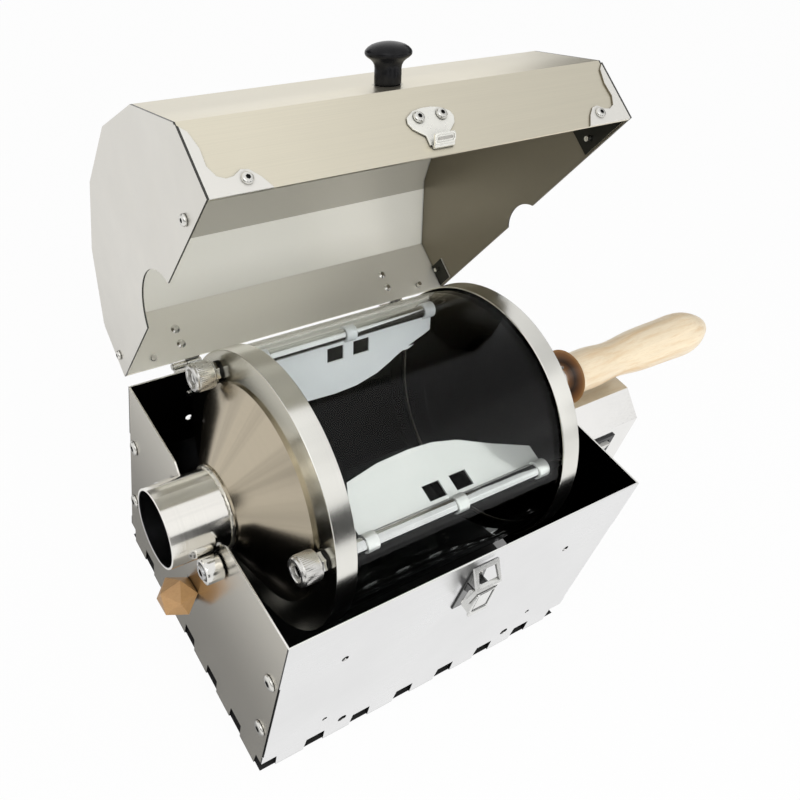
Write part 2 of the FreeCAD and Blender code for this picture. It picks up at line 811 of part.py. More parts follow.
def make_lid_shell():
    """One bent sheet from the back rim over the top to the front rim, with a flange at each lower corner."""
    body = new_body("lid_shell")
    sketch = new_sketch(body, "YZ_Plane")
    add_polygon(sketch, lid_outline())
    block = pad(body, sketch, 2 * wall_inside, symmetric=True)
    doc.recompute()
    open_faces = []
    for number, face in enumerate(block.Shape.Faces, start=1):
        normal = face.normalAt(0, 0)
        if abs(normal.x) > 0.99 or normal.z < -0.99:
            open_faces.append("Face%d" % number)
    shell = body.newObject("PartDesign::Thickness", "lid_shell_walls")
    shell.Base = (block, open_faces)
    shell.Value = float(d.sheet)
    bind(shell, "Value", d.sheet)
    shell.Reversed = True
    shell.Join = "Intersection"
    rise = rim_z + d.sheet
    for start in (-wall_inside, wall_inside - d.sheet):
        flanges = new_sketch(body, "YZ_Plane", start)
        add_rectangle(flanges, lid_front + d.sheet, lid_front + d.end_flange_long, rise,
                      rise + d.end_flange_height)
        add_rectangle(flanges, lid_back - d.end_flange_short, lid_back - d.sheet, rise,
                      rise + d.end_flange_height)
        pad(body, flanges, d.sheet)
    ends = new_sketch(body, "YZ_Plane")
    for y, z in end_screw_spots():
        add_circle(ends, y, z, screw_hole)
    cut(body, ends)
    across = new_sketch(body, "XZ_Plane")
    for x in (-tab_screw_x(), tab_screw_x()):
        add_circle(across, x, rim_z + d.tab_screw_rise, screw_hole)
    cut(body, across)
    keeper = new_sketch(body, "XZ_Plane", -lid_front - 2 * d.sheet)
    for x in keeper_screw_places():
        add_circle(keeper, x, rim_z + d.keeper_screw_rise, screw_hole)
    cut(body, keeper, 3 * d.sheet, forward=True)
    leaves = new_sketch(body, "XZ_Plane", -lid_back + 2 * d.sheet)
    for x in (d.hinge_left, d.hinge_right):
        for z in lid_rivet_heights():
            add_circle(leaves, x, z, rivet_hole)
    cut(body, leaves, 3 * d.sheet)
    bore = knob_sketch(body, -2 * d.sheet)
    add_circle(bore, d.knob_centre, 0.0, grip_hole)
    cut(body, bore, 3 * d.sheet, forward=True)
    swing_open(body)


def tab_screw_x():
    return half_length - d.tab_screw_in


def keeper_screw_places():
    return d.keeper_centre - d.keeper_screw_half_pitch, d.keeper_centre + d.keeper_screw_half_pitch


def end_screw_spots():
    """The screws in each end plate of the hood, as Y and Z with the hood closed."""
    return [(lid_front + d.end_screw_front, rim_z + d.end_screw_front_rise),
            (lid_back - d.end_screw_back, rim_z + d.end_screw_back_rise)]


def lid_rivet_heights():
    first = rim_z + d.rivet_pitch
    return first, first + d.rivet_pitch


def knob_place():
    """The knob's seat on the slanted front panel, closed: its Y, its Z and the panel's tilt."""
    run = d.lid_shoulder_in
    fall = d.lid_shoulder_height - d.lid_skirt
    slant = square_root(run * run + fall * fall)
    y = lid_front + run - d.knob_along * run / slant
    z = rim_z + d.lid_shoulder_height - d.knob_along * fall / slant
    return y, z, arctangent(fall / run)


def knob_sketch(body, offset):
    """A sketch square to the knob's axis, at an offset along that axis from the panel's outside."""
    y, z, tilt = knob_place()
    sketch = new_sketch(body, "XY_Plane")
    base = FreeCAD.Vector(0, float(y - offset * sine(tilt)), float(z + offset * cosine(tilt)))
    rotation = FreeCAD.Rotation(FreeCAD.Vector(1, 0, 0), float(tilt))
    sketch.AttachmentOffset = FreeCAD.Placement(base, rotation)
    bind(sketch, "AttachmentOffset.Base.y", y - offset * sine(tilt))
    bind(sketch, "AttachmentOffset.Base.z", z + offset * cosine(tilt))
    bind(sketch, "AttachmentOffset.Rotation.Angle", tilt)
    return sketch


def tab_outline(side):
    """The scalloped corner tab in X and Z: along the end edge, then down and in to the rim."""
    scallop = [(0.0, 34.0), (4.0, 30.0), (6.0, 22.0), (5.6, 14.0), (8.0, 9.0), (11.5, 7.3), (15.0, 7.8),
               (19.0, 10.2), (22.5, 9.6), (26.5, 5.6), (30.0, 0.0)]
    edge = [(side * (half_length - run), rim_z + rise) for run, rise in scallop]
    return edge + [(side * half_length, rim_z)]


def make_lid_end(name, side, notch_radius):
    """An end plate of the hood with its two corner tabs and its notch over the drum's axle."""
    body = new_body(name)
    start = wall_inside if side > 0 else -half_length
    plate = new_sketch(body, "YZ_Plane", start)
    add_polygon(plate, lid_outline())
    pad(body, plate, d.sheet)
    front_tab = new_sketch(body, "XZ_Plane", -lid_front)
    add_polygon(front_tab, tab_outline(side))
    pad(body, front_tab, d.tab_sheet)
    back_tab = new_sketch(body, "XZ_Plane", -lid_back - d.tab_sheet)
    add_polygon(back_tab, tab_outline(side))
    pad(body, back_tab, d.tab_sheet)
    tab_holes = new_sketch(body, "XZ_Plane")
    add_circle(tab_holes, side * tab_screw_x(), rim_z + d.tab_screw_rise, screw_hole)
    cut(body, tab_holes)
    drilled = new_sketch(body, "YZ_Plane")
    for y, z in end_screw_spots():
        add_circle(drilled, y, z, screw_hole)
    cut(body, drilled)
    notch = new_sketch(body, "YZ_Plane")
    add_circle(notch, 0.0, axis_z, notch_radius)
    cut(body, notch)
    swing_open(body)


def make_lid_knob():
    """The turned knob on the slanted front panel and the screw that holds it from inside."""
    y, z, tilt = knob_place()
    knob_y, knob_z = swing(y, z)
    knob = new_body("lid_knob")
    bore = d.knob_screw_depth
    cap = d.knob_height - d.knob_stem
    flare = d.knob_radius - d.knob_stem_radius
    profile = [(grip_hole, 0), (d.knob_stem_radius, 0), (d.knob_stem_radius, d.knob_stem)]
    profile += [(d.knob_stem_radius + share * flare, d.knob_stem + rise * cap)
                for share, rise in ((0.15, 0.25), (0.5, 0.45), (1.0, 0.6), (1.0, 0.7))]
    profile += [(d.knob_radius * share, d.knob_stem + rise * cap)
                for share, rise in ((0.73, 0.88), (0.37, 0.97), (0.0, 1.0))]
    revolve(knob, profile + [(0, bore), (grip_hole, bore)], axis="V_Axis")
    place(knob, d.knob_centre, knob_y, knob_z, (1, 0, 0), tilt - d.lid_open)
    screw = new_body("lid_knob_screw")
    low = -d.sheet - d.large_head_height
    tip = d.knob_screw_depth - d.free_gap
    revolve(screw, [(0, low), (d.large_head_radius / 2, low), (d.large_head_radius, -d.sheet),
                    (d.grip_screw_radius, -d.sheet), (d.grip_screw_radius, tip), (0, tip)], axis="V_Axis")
    place(screw, d.knob_centre, knob_y, knob_z, (1, 0, 0), tilt - d.lid_open)


def make_keeper():
    """The plate on the hood's front skirt whose hook the latch pulls down."""
    body = new_body("latch_keeper")
    plate = new_sketch(body, "XZ_Plane", -lid_front)
    neck = d.keeper_neck_half_width
    cheek = d.keeper_half_width
    head = d.keeper_height
    half_outline = [(neck, 0.22 * head), (0.97 * neck, 0.42 * head), (neck + (cheek - neck) / 4, 0.48 * head),
                    (0.9 * cheek, 0.6 * head), (cheek, 0.73 * head), (0.93 * cheek, 0.85 * head),
                    (0.6 * cheek, 0.96 * head), (0.2 * cheek, head)]
    right = [(d.keeper_centre + x, rim_z + z) for x, z in half_outline]
    left = [(d.keeper_centre - x, rim_z + z) for x, z in reversed(half_outline)]
    add_polygon(plate, right + left)
    pad(body, plate, d.latch_sheet)
    hook = new_sketch(body, "YZ_Plane", d.keeper_centre)
    face = lid_front
    plate_face = face - d.latch_sheet
    bend = plate_face - d.latch_sheet / 2
    tip = face - d.hook_reach
    sole = rim_z + d.hook_rise
    lip = rim_z + d.hook_lip_rise
    slant = 0.8 * d.latch_sheet
    add_polygon(hook, [(face, lip), (face, sole), (bend, sole), (tip, lip), (tip + slant, lip + slant),
                       (bend, sole + 1.4 * d.latch_sheet), (plate_face, sole + 1.6 * d.latch_sheet),
                       (plate_face, lip)])
    pad(body, hook, 2 * d.hook_half_width, symmetric=True)
    screws = new_sketch(body, "XZ_Plane")
    for x in keeper_screw_places():
        add_circle(screws, x, rim_z + d.keeper_screw_rise, screw_hole)
    cut(body, screws)
    swing_open(body)


def make_lid():
    """The hood with its knob, its keeper and its screws."""
    make_lid_shell()
    make_lid_end("lid_left_end", -1, d.lid_pipe_notch_radius)
    make_lid_end("lid_right_end", 1, d.lid_shaft_notch_radius)
    make_lid_knob()
    make_keeper()
    tab_z = rim_z + d.tab_screw_rise
    keeper_z = rim_z + d.keeper_screw_rise
    spots = []
    for side, facing in ((-1, TO_LEFT), (1, TO_RIGHT)):
        spots.append((side * tab_screw_x(), lid_front - d.tab_sheet, tab_z) + TO_FRONT)
        spots.append((side * tab_screw_x(), lid_back + d.tab_sheet, tab_z) + TO_BACK)
        spots += [(side * half_length, y, z) + facing for y, z in end_screw_spots()]
    spots += [(x, lid_front - d.latch_sheet, keeper_z) + TO_FRONT for x in keeper_screw_places()]
    swing_open(copies("lid_screws", small_screw, spots))


# ---------------------------------------------------------------- hinges

def make_knuckle(body, outline, start, length):
    """A tongue from a leaf to its knuckle, from x = start towards +X, bored for the pin."""
    tongue = new_sketch(body, "YZ_Plane", start)
    add_polygon(tongue, outline)
    pad(body, tongue, length)
    knuckle = new_sketch(body, "YZ_Plane", start)
    add_circle(knuckle, hinge_y, hinge_z, d.knuckle_radius)
    pad(body, knuckle, length)


def make_box_leaf(name, centre):
    """The leaf on the back wall, with the knuckle on its left half."""
    body = new_body(name)
    width = d.leaf_width / 2
    top = leaf_rivet_low + d.rivet_pitch + d.rivet_pitch / 2
    plate = new_sketch(body, "XZ_Plane", -half_depth - d.leaf_sheet)
    add_rectangle(plate, centre - width, centre + width, leaf_rivet_low - d.rivet_pitch / 2, top)
    pad(body, plate, d.leaf_sheet)
    wall = half_depth
    face = half_depth + d.leaf_sheet
    outline = [(wall, top - d.leaf_sheet), (face, top - d.leaf_sheet), (face, top - d.leaf_sheet / 2),
               (hinge_y, hinge_z - 0.7 * d.knuckle_radius), (hinge_y - 0.7 * d.knuckle_radius, hinge_z),
               (wall, top + d.leaf_sheet)]
    make_knuckle(body, outline, centre - width, width - d.knuckle_gap / 2)
    bore = new_sketch(body, "YZ_Plane")
    add_circle(bore, hinge_y, hinge_z, d.hinge_pin_radius)
    cut(body, bore)
    drilled = new_sketch(body, "XZ_Plane")
    for z in (leaf_rivet_low, leaf_rivet_low + d.rivet_pitch):
        add_circle(drilled, centre, z, rivet_hole)
    cut(body, drilled)


def make_lid_leaf(name, centre):
    """The leaf on the hood's back skirt, with the knuckle on its right half."""
    body = new_body(name)
    width = d.leaf_width / 2
    low, high = lid_rivet_heights()
    bottom = low - 0.7 * d.rivet_pitch
    plate = new_sketch(body, "XZ_Plane", -lid_back - d.leaf_sheet)
    add_rectangle(plate, centre - width, centre + width, bottom, high + d.rivet_pitch / 2)
    pad(body, plate, d.leaf_sheet)
    face = lid_back + d.leaf_sheet
    outline = [(lid_back, bottom + d.leaf_sheet), (face, bottom + d.leaf_sheet), (face, bottom),
               (hinge_y + 0.3 * d.knuckle_radius, hinge_z + 0.6 * d.knuckle_radius),
               (hinge_y - 0.6 * d.knuckle_radius, hinge_z + 0.3 * d.knuckle_radius),
               (lid_back, bottom - d.leaf_sheet)]
    make_knuckle(body, outline, centre + d.knuckle_gap / 2, width - d.knuckle_gap / 2)
    bore = new_sketch(body, "YZ_Plane")
    add_circle(bore, hinge_y, hinge_z, d.hinge_pin_radius + d.running_fit)
    cut(body, bore)
    drilled = new_sketch(body, "XZ_Plane")
    for z in (low, high):
        add_circle(drilled, centre, z, rivet_hole)
    cut(body, drilled)
    swing_open(body)


def make_hinges():
    """Two hinges of two leaves each, their pins and their rivets."""
    centres = (d.hinge_left, d.hinge_right)
    for side, centre in zip(("left", "right"), centres):
        make_box_leaf("hinge_%s_box_leaf" % side, centre)
        make_lid_leaf("hinge_%s_lid_leaf" % side, centre)
    pin = new_body("hinge_pin", exported=False)
    half_pin = d.leaf_width / 2 + d.running_fit
    end = half_pin + d.hinge_pin_head
    revolve(pin, [(-end, 0), (-end, d.hinge_pin_head_radius), (-half_pin, d.hinge_pin_head_radius),
                  (-half_pin, d.hinge_pin_radius), (half_pin, d.hinge_pin_radius),
                  (half_pin, d.hinge_pin_head_radius), (end, d.hinge_pin_head_radius), (end, 0)])
    copies("hinge_pins", pin, [(x, hinge_y, hinge_z) for x in centres])
    box_spots = [(x, half_depth + d.leaf_sheet, z) + TO_BACK for x in centres
                 for z in (leaf_rivet_low, leaf_rivet_low + d.rivet_pitch)]
    copies("hinge_box_rivets", rivet, box_spots)
    lid_spots = [(x, lid_back + d.leaf_sheet, z) + TO_BACK for x in centres for z in lid_rivet_heights()]
    swing_open(copies("hinge_lid_rivets", rivet, lid_spots))


# ---------------------------------------------------------------- latch on the front wall

def latch_rivet_heights():
    return latch_base_bottom + d.latch_rivet_inset, latch_base_top - d.latch_rivet_inset


def ear_inside():
    """Half the distance between the inner faces of the base's two ears."""
    return d.lever_half_width - 2 * d.latch_sheet - d.free_gap


def make_latch_base():
    """The riveted base plate with two ears for the lever's pin."""
    body = new_body("latch_base")
    plate = new_sketch(body, "XZ_Plane", half_depth)
    low = d.latch_base_half_width
    high = d.latch_base_half_top
    add_polygon(plate, [(-low, latch_base_bottom), (low, latch_base_bottom), (high, latch_base_top),
                        (-high, latch_base_top)])
    pad(body, plate, d.leaf_sheet)
    face = front - d.leaf_sheet
    pivot_y = front - d.lever_pivot_out
    margin = 2 * d.lever_pin_radius
    for start in (-ear_inside() - d.latch_sheet, ear_inside()):
        ear = new_sketch(body, "YZ_Plane", start)
        nose = 0.8 * margin
        pivot_z = lever_pivot_z
        add_polygon(ear, [(face, pivot_z - 3 * margin), (face, pivot_z + margin / 3),
                          (pivot_y - nose, pivot_z + nose), (pivot_y - nose, pivot_z - nose)])
        pad(body, ear, d.latch_sheet)
    pin = new_sketch(body, "YZ_Plane")
    add_circle(pin, pivot_y, lever_pivot_z, d.lever_pin_radius)
    cut(body, pin)
    rivets = new_sketch(body, "XZ_Plane")
    for z in latch_rivet_heights():
        add_circle(rivets, 0.0, z, rivet_hole)
    cut(body, rivets)
    copies("latch_rivets", rivet, [(0.0, face, z) + TO_FRONT for z in latch_rivet_heights()])


def make_latch_pin():
    """The pin through the base's ears that the lever turns on."""
    body = new_body("latch_lever_pin")
    half_pin = d.lever_half_width - d.running_fit
    revolve(body, [(-half_pin, 0), (-half_pin, d.lever_pin_radius), (half_pin, d.lever_pin_radius),
                   (half_pin, 0)])
    place(body, 0.0, front - d.lever_pivot_out, lever_pivot_z)


def make_latch_lever():
    """A channel that hangs from the pin, its face outwards and its cheeks outside the ears."""
    body = new_body("latch_lever")
    face_y = front - d.lever_face_out
    plate = new_sketch(body, "YZ_Plane")
    outer = face_y - d.latch_sheet
    toe = lever_bottom + 2 * d.latch_sheet
    add_polygon(plate, [(face_y, lever_top), (face_y, toe), (face_y - d.latch_sheet / 2, lever_bottom),
                        (outer - d.latch_sheet, lever_bottom), (outer, toe), (outer, lever_top)])
    pad(body, plate, 2 * d.lever_half_width, symmetric=True)
    margin = 2 * d.lever_pin_radius
    pivot_y = front - d.lever_pivot_out
    bail_y = front - d.bail_pivot_out
    for start in (-d.lever_half_width, d.lever_half_width - d.latch_sheet):
        cheek = new_sketch(body, "YZ_Plane", start)
        add_polygon(cheek, [(face_y, lever_top), (pivot_y + margin / 2, lever_pivot_z + margin),
                            (pivot_y + margin, lever_pivot_z),
                            (bail_y + 1.5 * margin, bail_pivot_z - margin),
                            (bail_y + 1.5 * margin, toe), (face_y, toe)])
        pad(body, cheek, d.latch_sheet)
    pins = new_sketch(body, "YZ_Plane")
    add_circle(pins, pivot_y, lever_pivot_z, d.lever_pin_radius + d.running_fit)
    add_circle(pins, bail_y, bail_pivot_z, d.bail_stub_radius + d.running_fit)
    cut(body, pins)


def make_latch_bail():
    """A bent strap with a window that reaches from the lever up over the hood's hook."""
    body = new_body("latch_bail")
    inner = d.lever_half_width + d.free_gap
    outer = d.bail_half_width
    foot_y = front - d.bail_pivot_out
    bend_y = front - d.bail_bend_out
    top_y = front - d.bail_top_out
    strap = d.bail_sheet
    foot_z = bail_pivot_z - strap
    side_view = new_sketch(body, "YZ_Plane")
    add_polygon(side_view, [(foot_y + strap, foot_z), (foot_y - strap, foot_z),
                            (bend_y, bail_bend_z), (top_y - strap / 2, bail_top + strap / 2),
                            (top_y + strap / 2, bail_top - strap / 2),
                            (bend_y + 1.6 * strap, bail_bend_z - strap / 2)])
    pad(body, side_view, 2 * outer, symmetric=True)
    slot = new_sketch(body, "XZ_Plane")
    add_rectangle(slot, -inner, inner, foot_z - strap, lever_top + strap)
    cut(body, slot)
    window = new_sketch(body, "XZ_Plane")
    sill = bail_bend_z + strap
    head = bail_top - 1.6 * strap
    add_polygon(window, [(-outer + 1.2 * strap, sill), (outer - 1.2 * strap, sill),
                         (outer - 2 * strap, head), (-outer + 2 * strap, head)])
    cut(body, window)
    for start in (-inner - strap / 2, inner - d.latch_sheet):
        stub = new_sketch(body, "YZ_Plane", start)
        add_circle(stub, foot_y, bail_pivot_z, d.bail_stub_radius)
        pad(body, stub, strap / 2 + d.latch_sheet)


# ---------------------------------------------------------------- drum

def make_front_end():
    """The discharge pipe, the cone and the flange that holds the front end of the glass."""
    pipe = new_body("discharge_pipe")
    neck = -d.neck_position
    revolve(pipe, [(-d.pipe_mouth, pipe_inside), (-d.pipe_mouth, d.pipe_radius), (neck, d.pipe_radius),
                   (neck, pipe_inside)])
    lift_to_axis(pipe)

    cone = new_body("drum_cone")
    face = -d.front_face
    bead = d.pipe_radius + d.neck_bead
    inner_base = d.cone_base_radius - d.cone_lip
    revolve(cone, [(neck - d.neck_bead, d.pipe_radius), (neck - d.neck_bead, bead - d.neck_bead / 2),
                   (neck - d.neck_bead / 2, bead), (neck + d.neck_bead / 4, bead),
                   (face - d.cone_lip, d.cone_base_radius), (face, d.cone_base_radius), (face, inner_base),
                   (face - d.cone_sheet, inner_base), (neck + d.cone_sheet, d.pipe_radius)])
    lift_to_axis(cone)
    make_flange("front_flange", -1, d.front_face, d.front_rim, d.flange_opening)


def make_flange(name, side, face, rim, opening):
    """A cup-shaped ring over one end of the glass, drilled for the tie rods."""
    body = new_body(name)
    inside = face - d.flange_sheet
    bore = d.drum_radius - d.rim_sheet
    edge = face - rim
    outline = [(face, opening), (face, d.drum_radius), (edge, d.drum_radius), (edge, bore), (inside, bore),
               (inside, opening)]
    revolve(body, [(side * x, radius) for x, radius in outline])
    drilled = new_sketch(body, "YZ_Plane")
    add_circle(drilled, d.rod_circle * cosine(d.rod_angle), d.rod_circle * sine(d.rod_angle), rod_hole)
    hole = cut(body, drilled)
    repeat_round(body, hole, drilled, 3)
    lift_to_axis(body)


def make_glass():
    """The glass cylinder between its two gaskets."""
    front_seat = -d.front_face + d.flange_sheet
    rear_seat = d.rear_face - d.flange_sheet
    gasket = new_body("gasket_ring", exported=False)
    inner = d.glass_radius - d.glass_wall
    revolve(gasket, [(0, inner), (0, d.glass_radius), (d.gasket_sheet, d.glass_radius),
                     (d.gasket_sheet, inner)])
    copies("glass_gaskets", gasket, [(front_seat, 0.0, axis_z),
                                     (rear_seat - d.gasket_sheet, 0.0, axis_z)])
    glass = new_body("glass_cylinder")
    start = front_seat + d.gasket_sheet
    end = rear_seat - d.gasket_sheet
    revolve(glass, [(start, inner), (start, d.glass_radius), (end, d.glass_radius), (end, inner)])
    lift_to_axis(glass)


def rod_spots(x):
    """The three places around the drum where a tie rod passes the plane at x."""
    spots = []
    for turn in range(3):
        angle = d.rod_angle + 120.0 * turn
        spots.append((x, d.rod_circle * cosine(angle), axis_z + d.rod_circle * sine(angle)))
    return spots


def make_tie_rods():
    """Three tie rods clamp the two flanges, with washers, nuts and knurled thumb nuts."""
    rod = new_body("tie_rod", exported=False)
    front_seat = -d.front_face + d.flange_sheet
    rear_seat = d.rear_face - d.flange_sheet
    revolve(rod, [(-d.rod_front_end, 0), (-d.rod_front_end, d.rod_thread_radius),
                  (front_seat, d.rod_thread_radius), (front_seat, d.rod_radius), (rear_seat, d.rod_radius),
                  (rear_seat, d.rod_thread_radius), (d.rod_rear_end, d.rod_thread_radius),
                  (d.rod_rear_end, 0)])
    copies("tie_rods", rod, rod_spots(0.0))
    washer = new_body("rod_washer", exported=False)
    revolve(washer, [(0, rod_hole), (0, d.washer_radius), (d.washer_sheet, d.washer_radius),
                     (d.washer_sheet, rod_hole)])
    nut = make_nut("rod_nut", d.nut_flats, d.rod_thread_radius, d.nut_height)
    front_washer = -d.front_face - d.washer_sheet
    front_nut = front_washer - d.nut_height
    rear_nut = d.rear_face + d.washer_sheet
    copies("rod_washers", washer, rod_spots(front_washer) + rod_spots(d.rear_face))
    copies("rod_nuts", nut, rod_spots(front_nut) + rod_spots(rear_nut))
    thumb = new_body("thumb_nut", exported=False)
    end = -d.thumb_length
    bevel = d.thumb_radius - d.washer_sheet
    floor = end + d.thumb_recess
    revolve(thumb, [(0, d.rod_thread_radius), (0, bevel), (-d.washer_sheet, d.thumb_radius),
                    (end + d.washer_sheet, d.thumb_radius), (end, bevel), (end, d.thumb_recess_radius),
                    (floor, d.thumb_recess_radius), (floor, d.rod_thread_radius)])
    copies("thumb_nuts", thumb, rod_spots(front_nut))


def vane_edge():
    """The wavy inner edge of a vane, as X and the distance from its rod."""
    length = d.vane_half_length
    reach = d.vane_reach
    end = d.vane_end_reach
    shoulder = (reach + end) / 2 + end / 2
    return [(-length, end), (-0.85 * length, shoulder), (-0.5 * length, reach - d.vane_sheet),
            (-0.15 * length, reach), (0.1 * length, reach - d.vane_sheet), (0.35 * length, shoulder),
            (0.65 * length, (shoulder + end) / 2), (length, end)]


def make_vane(name, turn):
    """A raked sheet that lifts the beans. Three clips hold it on its rod."""
    body = new_body(name)
    near = d.rod_radius + d.free_gap
    blade = new_sketch(body, "XY_Plane", -d.vane_sheet / 2)
    add_polygon(blade, vane_edge() + [(d.vane_half_length, near), (-d.vane_half_length, near)])
    pad(body, blade, d.vane_sheet)
    windows = new_sketch(body, "XY_Plane")
    for left, right in ((-d.vane_window_half, -d.vane_tab_half), (d.vane_tab_half, d.vane_window_half)):
        add_rectangle(windows, left, right, d.vane_window_near, d.vane_window_far)
    cut(body, windows)
    width = d.vane_clip_width
    outer = d.rod_radius + d.vane_clip_sheet
    for start in (-d.vane_half_length, -width / 2, d.vane_half_length - width):
        clip = new_sketch(body, "YZ_Plane", start)
        add_circle(clip, 0.0, 0.0, outer)
        add_circle(clip, 0.0, 0.0, d.rod_radius)
        pad(body, clip, width)
    angle = d.rod_angle + 120.0 * turn
    place(body, 0.0, d.rod_circle * cosine(angle), axis_z + d.rod_circle * sine(angle), (1, 0, 0),
          angle + 180.0 + d.vane_rake)


def make_rear_end():
    """The rear flange, the back plate, the shaft and its collar."""
    make_flange("rear_flange", 1, d.rear_face, d.rear_rim, d.rear_opening)
    plate = new_body("back_plate")
    outside = d.rear_face + d.back_plate_sheet
    revolve(plate, [(d.rear_face, 0), (d.rear_face, d.back_plate_radius), (outside, d.back_plate_radius),
                    (outside, 0)])
    lift_to_axis(plate)
    shaft = new_body("drum_shaft")
    hub = outside + d.hub_sheet
    revolve(shaft, [(outside, 0), (outside, d.hub_radius), (hub, d.hub_radius), (hub, d.shaft_radius),
                    (d.handle_start, d.shaft_radius), (d.handle_start, d.stud_radius),
                    (d.handle_start + d.stud_length, d.stud_radius), (d.handle_start + d.stud_length, 0)])
    lift_to_axis(shaft)
    collar = new_body("handle_collar")
    start = d.handle_start - d.collar_length
    revolve(collar, [(start, d.shaft_radius), (start, d.collar_radius), (d.handle_start, d.collar_radius),
                     (d.handle_start, d.shaft_radius)])
    hole = new_sketch(collar, "XY_Plane")
    add_circle(hole, d.handle_start - d.collar_length / 2, 0.0, d.set_screw_radius)
    cut(collar, hole, d.collar_radius + d.set_screw_radius, forward=True)
    lift_to_axis(collar)


def make_handle():
    """The turned wooden handle, from its flat base face to its rounded end."""
    base = float(d.handle_base_radius)
    waist = float(d.handle_waist_radius)
    grip = float(d.handle_grip_radius)
    length = float(d.handle_length)
    stations = [(0.0, base), (0.15 * length, waist + (base - waist) / 4), (0.29 * length, waist),
                (0.47 * length, (waist + 2 * grip) / 3), (0.71 * length, grip), (0.88 * length, 0.92 * grip),
                (0.965 * length, 0.58 * grip), (length, 0.0)]
    points = [FreeCAD.Vector(x, 0, radius) for x, radius in stations]
    side = Part.BSplineCurve()
    side.interpolate(Points=points, InitialTangent=FreeCAD.Vector(0.5, 0, -1),
                     FinalTangent=FreeCAD.Vector(0, 0, -1))
    origin = FreeCAD.Vector(0, 0, 0)
    outline = Part.Wire([Part.LineSegment(origin, points[0]).toShape(), side.toShape(),
                         Part.LineSegment(points[-1], origin).toShape()])
    solid = Part.Face(outline).revolve(origin, FreeCAD.Vector(1, 0, 0), 360)
    bore = Part.makeCylinder(float(d.stud_radius + d.hole_clearance), float(d.stud_length + d.free_gap),
                             origin, FreeCAD.Vector(1, 0, 0))
    handle = doc.addObject("Part::Feature", "wooden_handle")
    handle.Label = "wooden_handle"
    handle.Shape = solid.cut(bore)
    nodes.append(handle)
    place(handle, float(d.handle_start), 0.0, float(axis_z))


def make_drum():
    """Everything that turns with the drum, apart from its gear."""
    make_front_end()
    make_glass()
    make_tie_rods()
    for number in range(3):
        make_vane("vane_%d" % (number + 1), number)
    make_rear_end()
    make_handle()


# ---------------------------------------------------------------- gears, motor and bush

def gear_solid(teeth, bore, hub_radius, hub_length, first_tooth):
    """A spur gear with involute flanks, from x = 0 towards +X, with its hub behind it."""
    module = float(d.gear_module)
    pitch = module * teeth / 2
    pressure = math.radians(20)
    base = pitch * math.cos(pressure)
    tip = pitch + module
    root = pitch - 1.25 * module
    half_tooth = (math.pi / 2 - float(d.gear_backlash) / 2 / module) / teeth
    inner = max(base, root)

    def flank_angle(radius):
        slope = math.acos(min(1.0, base / radius))
        return half_tooth + math.tan(pressure) - pressure - math.tan(slope) + slope

    def point(radius, angle):
        return FreeCAD.Vector(0, radius * math.cos(angle), radius * math.sin(angle))

    radii = [inner + (tip - inner) * step / 4 for step in range(5)]
    edges = []
    for number in range(teeth):
        centre = first_tooth + 2 * math.pi * number / teeth
        rising = [point(radius, centre - flank_angle(radius)) for radius in radii]
        falling = [point(radius, centre + flank_angle(radius)) for radius in reversed(radii)]
        foot = point(root, centre - flank_angle(inner))
        end = point(root, centre + flank_angle(inner))
        following = centre + 2 * math.pi / teeth
        next_foot = point(root, following - flank_angle(inner))
        valley = point(root, centre + math.pi / teeth)
        crest = point(tip, centre)
        for flank in (rising, falling):
            curve = Part.BSplineCurve()
            curve.interpolate(flank)
            edges.append(curve.toShape())
        edges.insert(-1, Part.Arc(rising[-1], crest, falling[0]).toShape())
        edges.insert(-3, Part.LineSegment(foot, rising[0]).toShape())
        edges.append(Part.LineSegment(falling[-1], end).toShape())
        edges.append(Part.Arc(end, valley, next_foot).toShape())
    along = FreeCAD.Vector(1, 0, 0)
    origin = FreeCAD.Vector(0, 0, 0)
    width = float(d.gear_width)
    blank = Part.Face(Part.Wire(edges)).extrude(along * width)
    hub = Part.makeCylinder(hub_radius, hub_length, along * width, along)
    hole = Part.makeCylinder(bore, width + hub_length, origin, along)
    return blank.fuse(hub).cut(hole)


def add_gear(name, teeth, bore, hub_radius, first_tooth, height):
    gear = doc.addObject("Part::Feature", name)
    gear.Label = name
    gear.Shape = gear_solid(int(float(teeth)), float(bore), float(hub_radius), float(d.gear_hub), first_tooth)
    nodes.append(gear)
    place(gear, float(d.gear_start), 0.0, float(height))


def make_gears():
    """The drum's gear points a tooth straight down into a gap of the pinion below it."""
    add_gear("drum_gear", d.drum_gear_teeth, d.shaft_radius, d.gear_hub_radius, -math.pi / 2, axis_z)
    gap_up = math.pi / 2 + math.pi / float(d.pinion_teeth)
    add_gear("drive_pinion", d.pinion_teeth, d.motor_shaft_radius, d.pinion_hub_radius, gap_up, motor_z)


def make_motor():
    """The gear motor on the outside of the end wall and its output shaft."""
    body = new_body("gear_motor")
    nose = half_length - d.motor_boss
    box_end = half_length + d.gearbox_length
    can_end = box_end + d.motor_length
    floor = half_length + d.motor_bore_depth
    bore = d.motor_shaft_radius + d.running_fit
    cap = can_end + d.motor_boss
    revolve(body, [(nose, bore), (nose, d.motor_boss_radius), (half_length, d.motor_boss_radius),
                   (half_length, d.gearbox_radius), (box_end, d.gearbox_radius), (box_end, d.motor_radius),
                   (can_end, d.motor_radius), (can_end, d.motor_boss_radius), (cap, d.motor_boss_radius),
                   (cap, 0), (floor, 0), (floor, bore)])
    place(body, 0.0, 0.0, motor_z)
    shaft = new_body("motor_shaft")
    tip = floor - d.free_gap
    revolve(shaft, [(d.gear_start, 0), (d.gear_start, d.motor_shaft_radius), (tip, d.motor_shaft_radius),
                    (tip, 0)])
    place(shaft, 0.0, 0.0, motor_z)


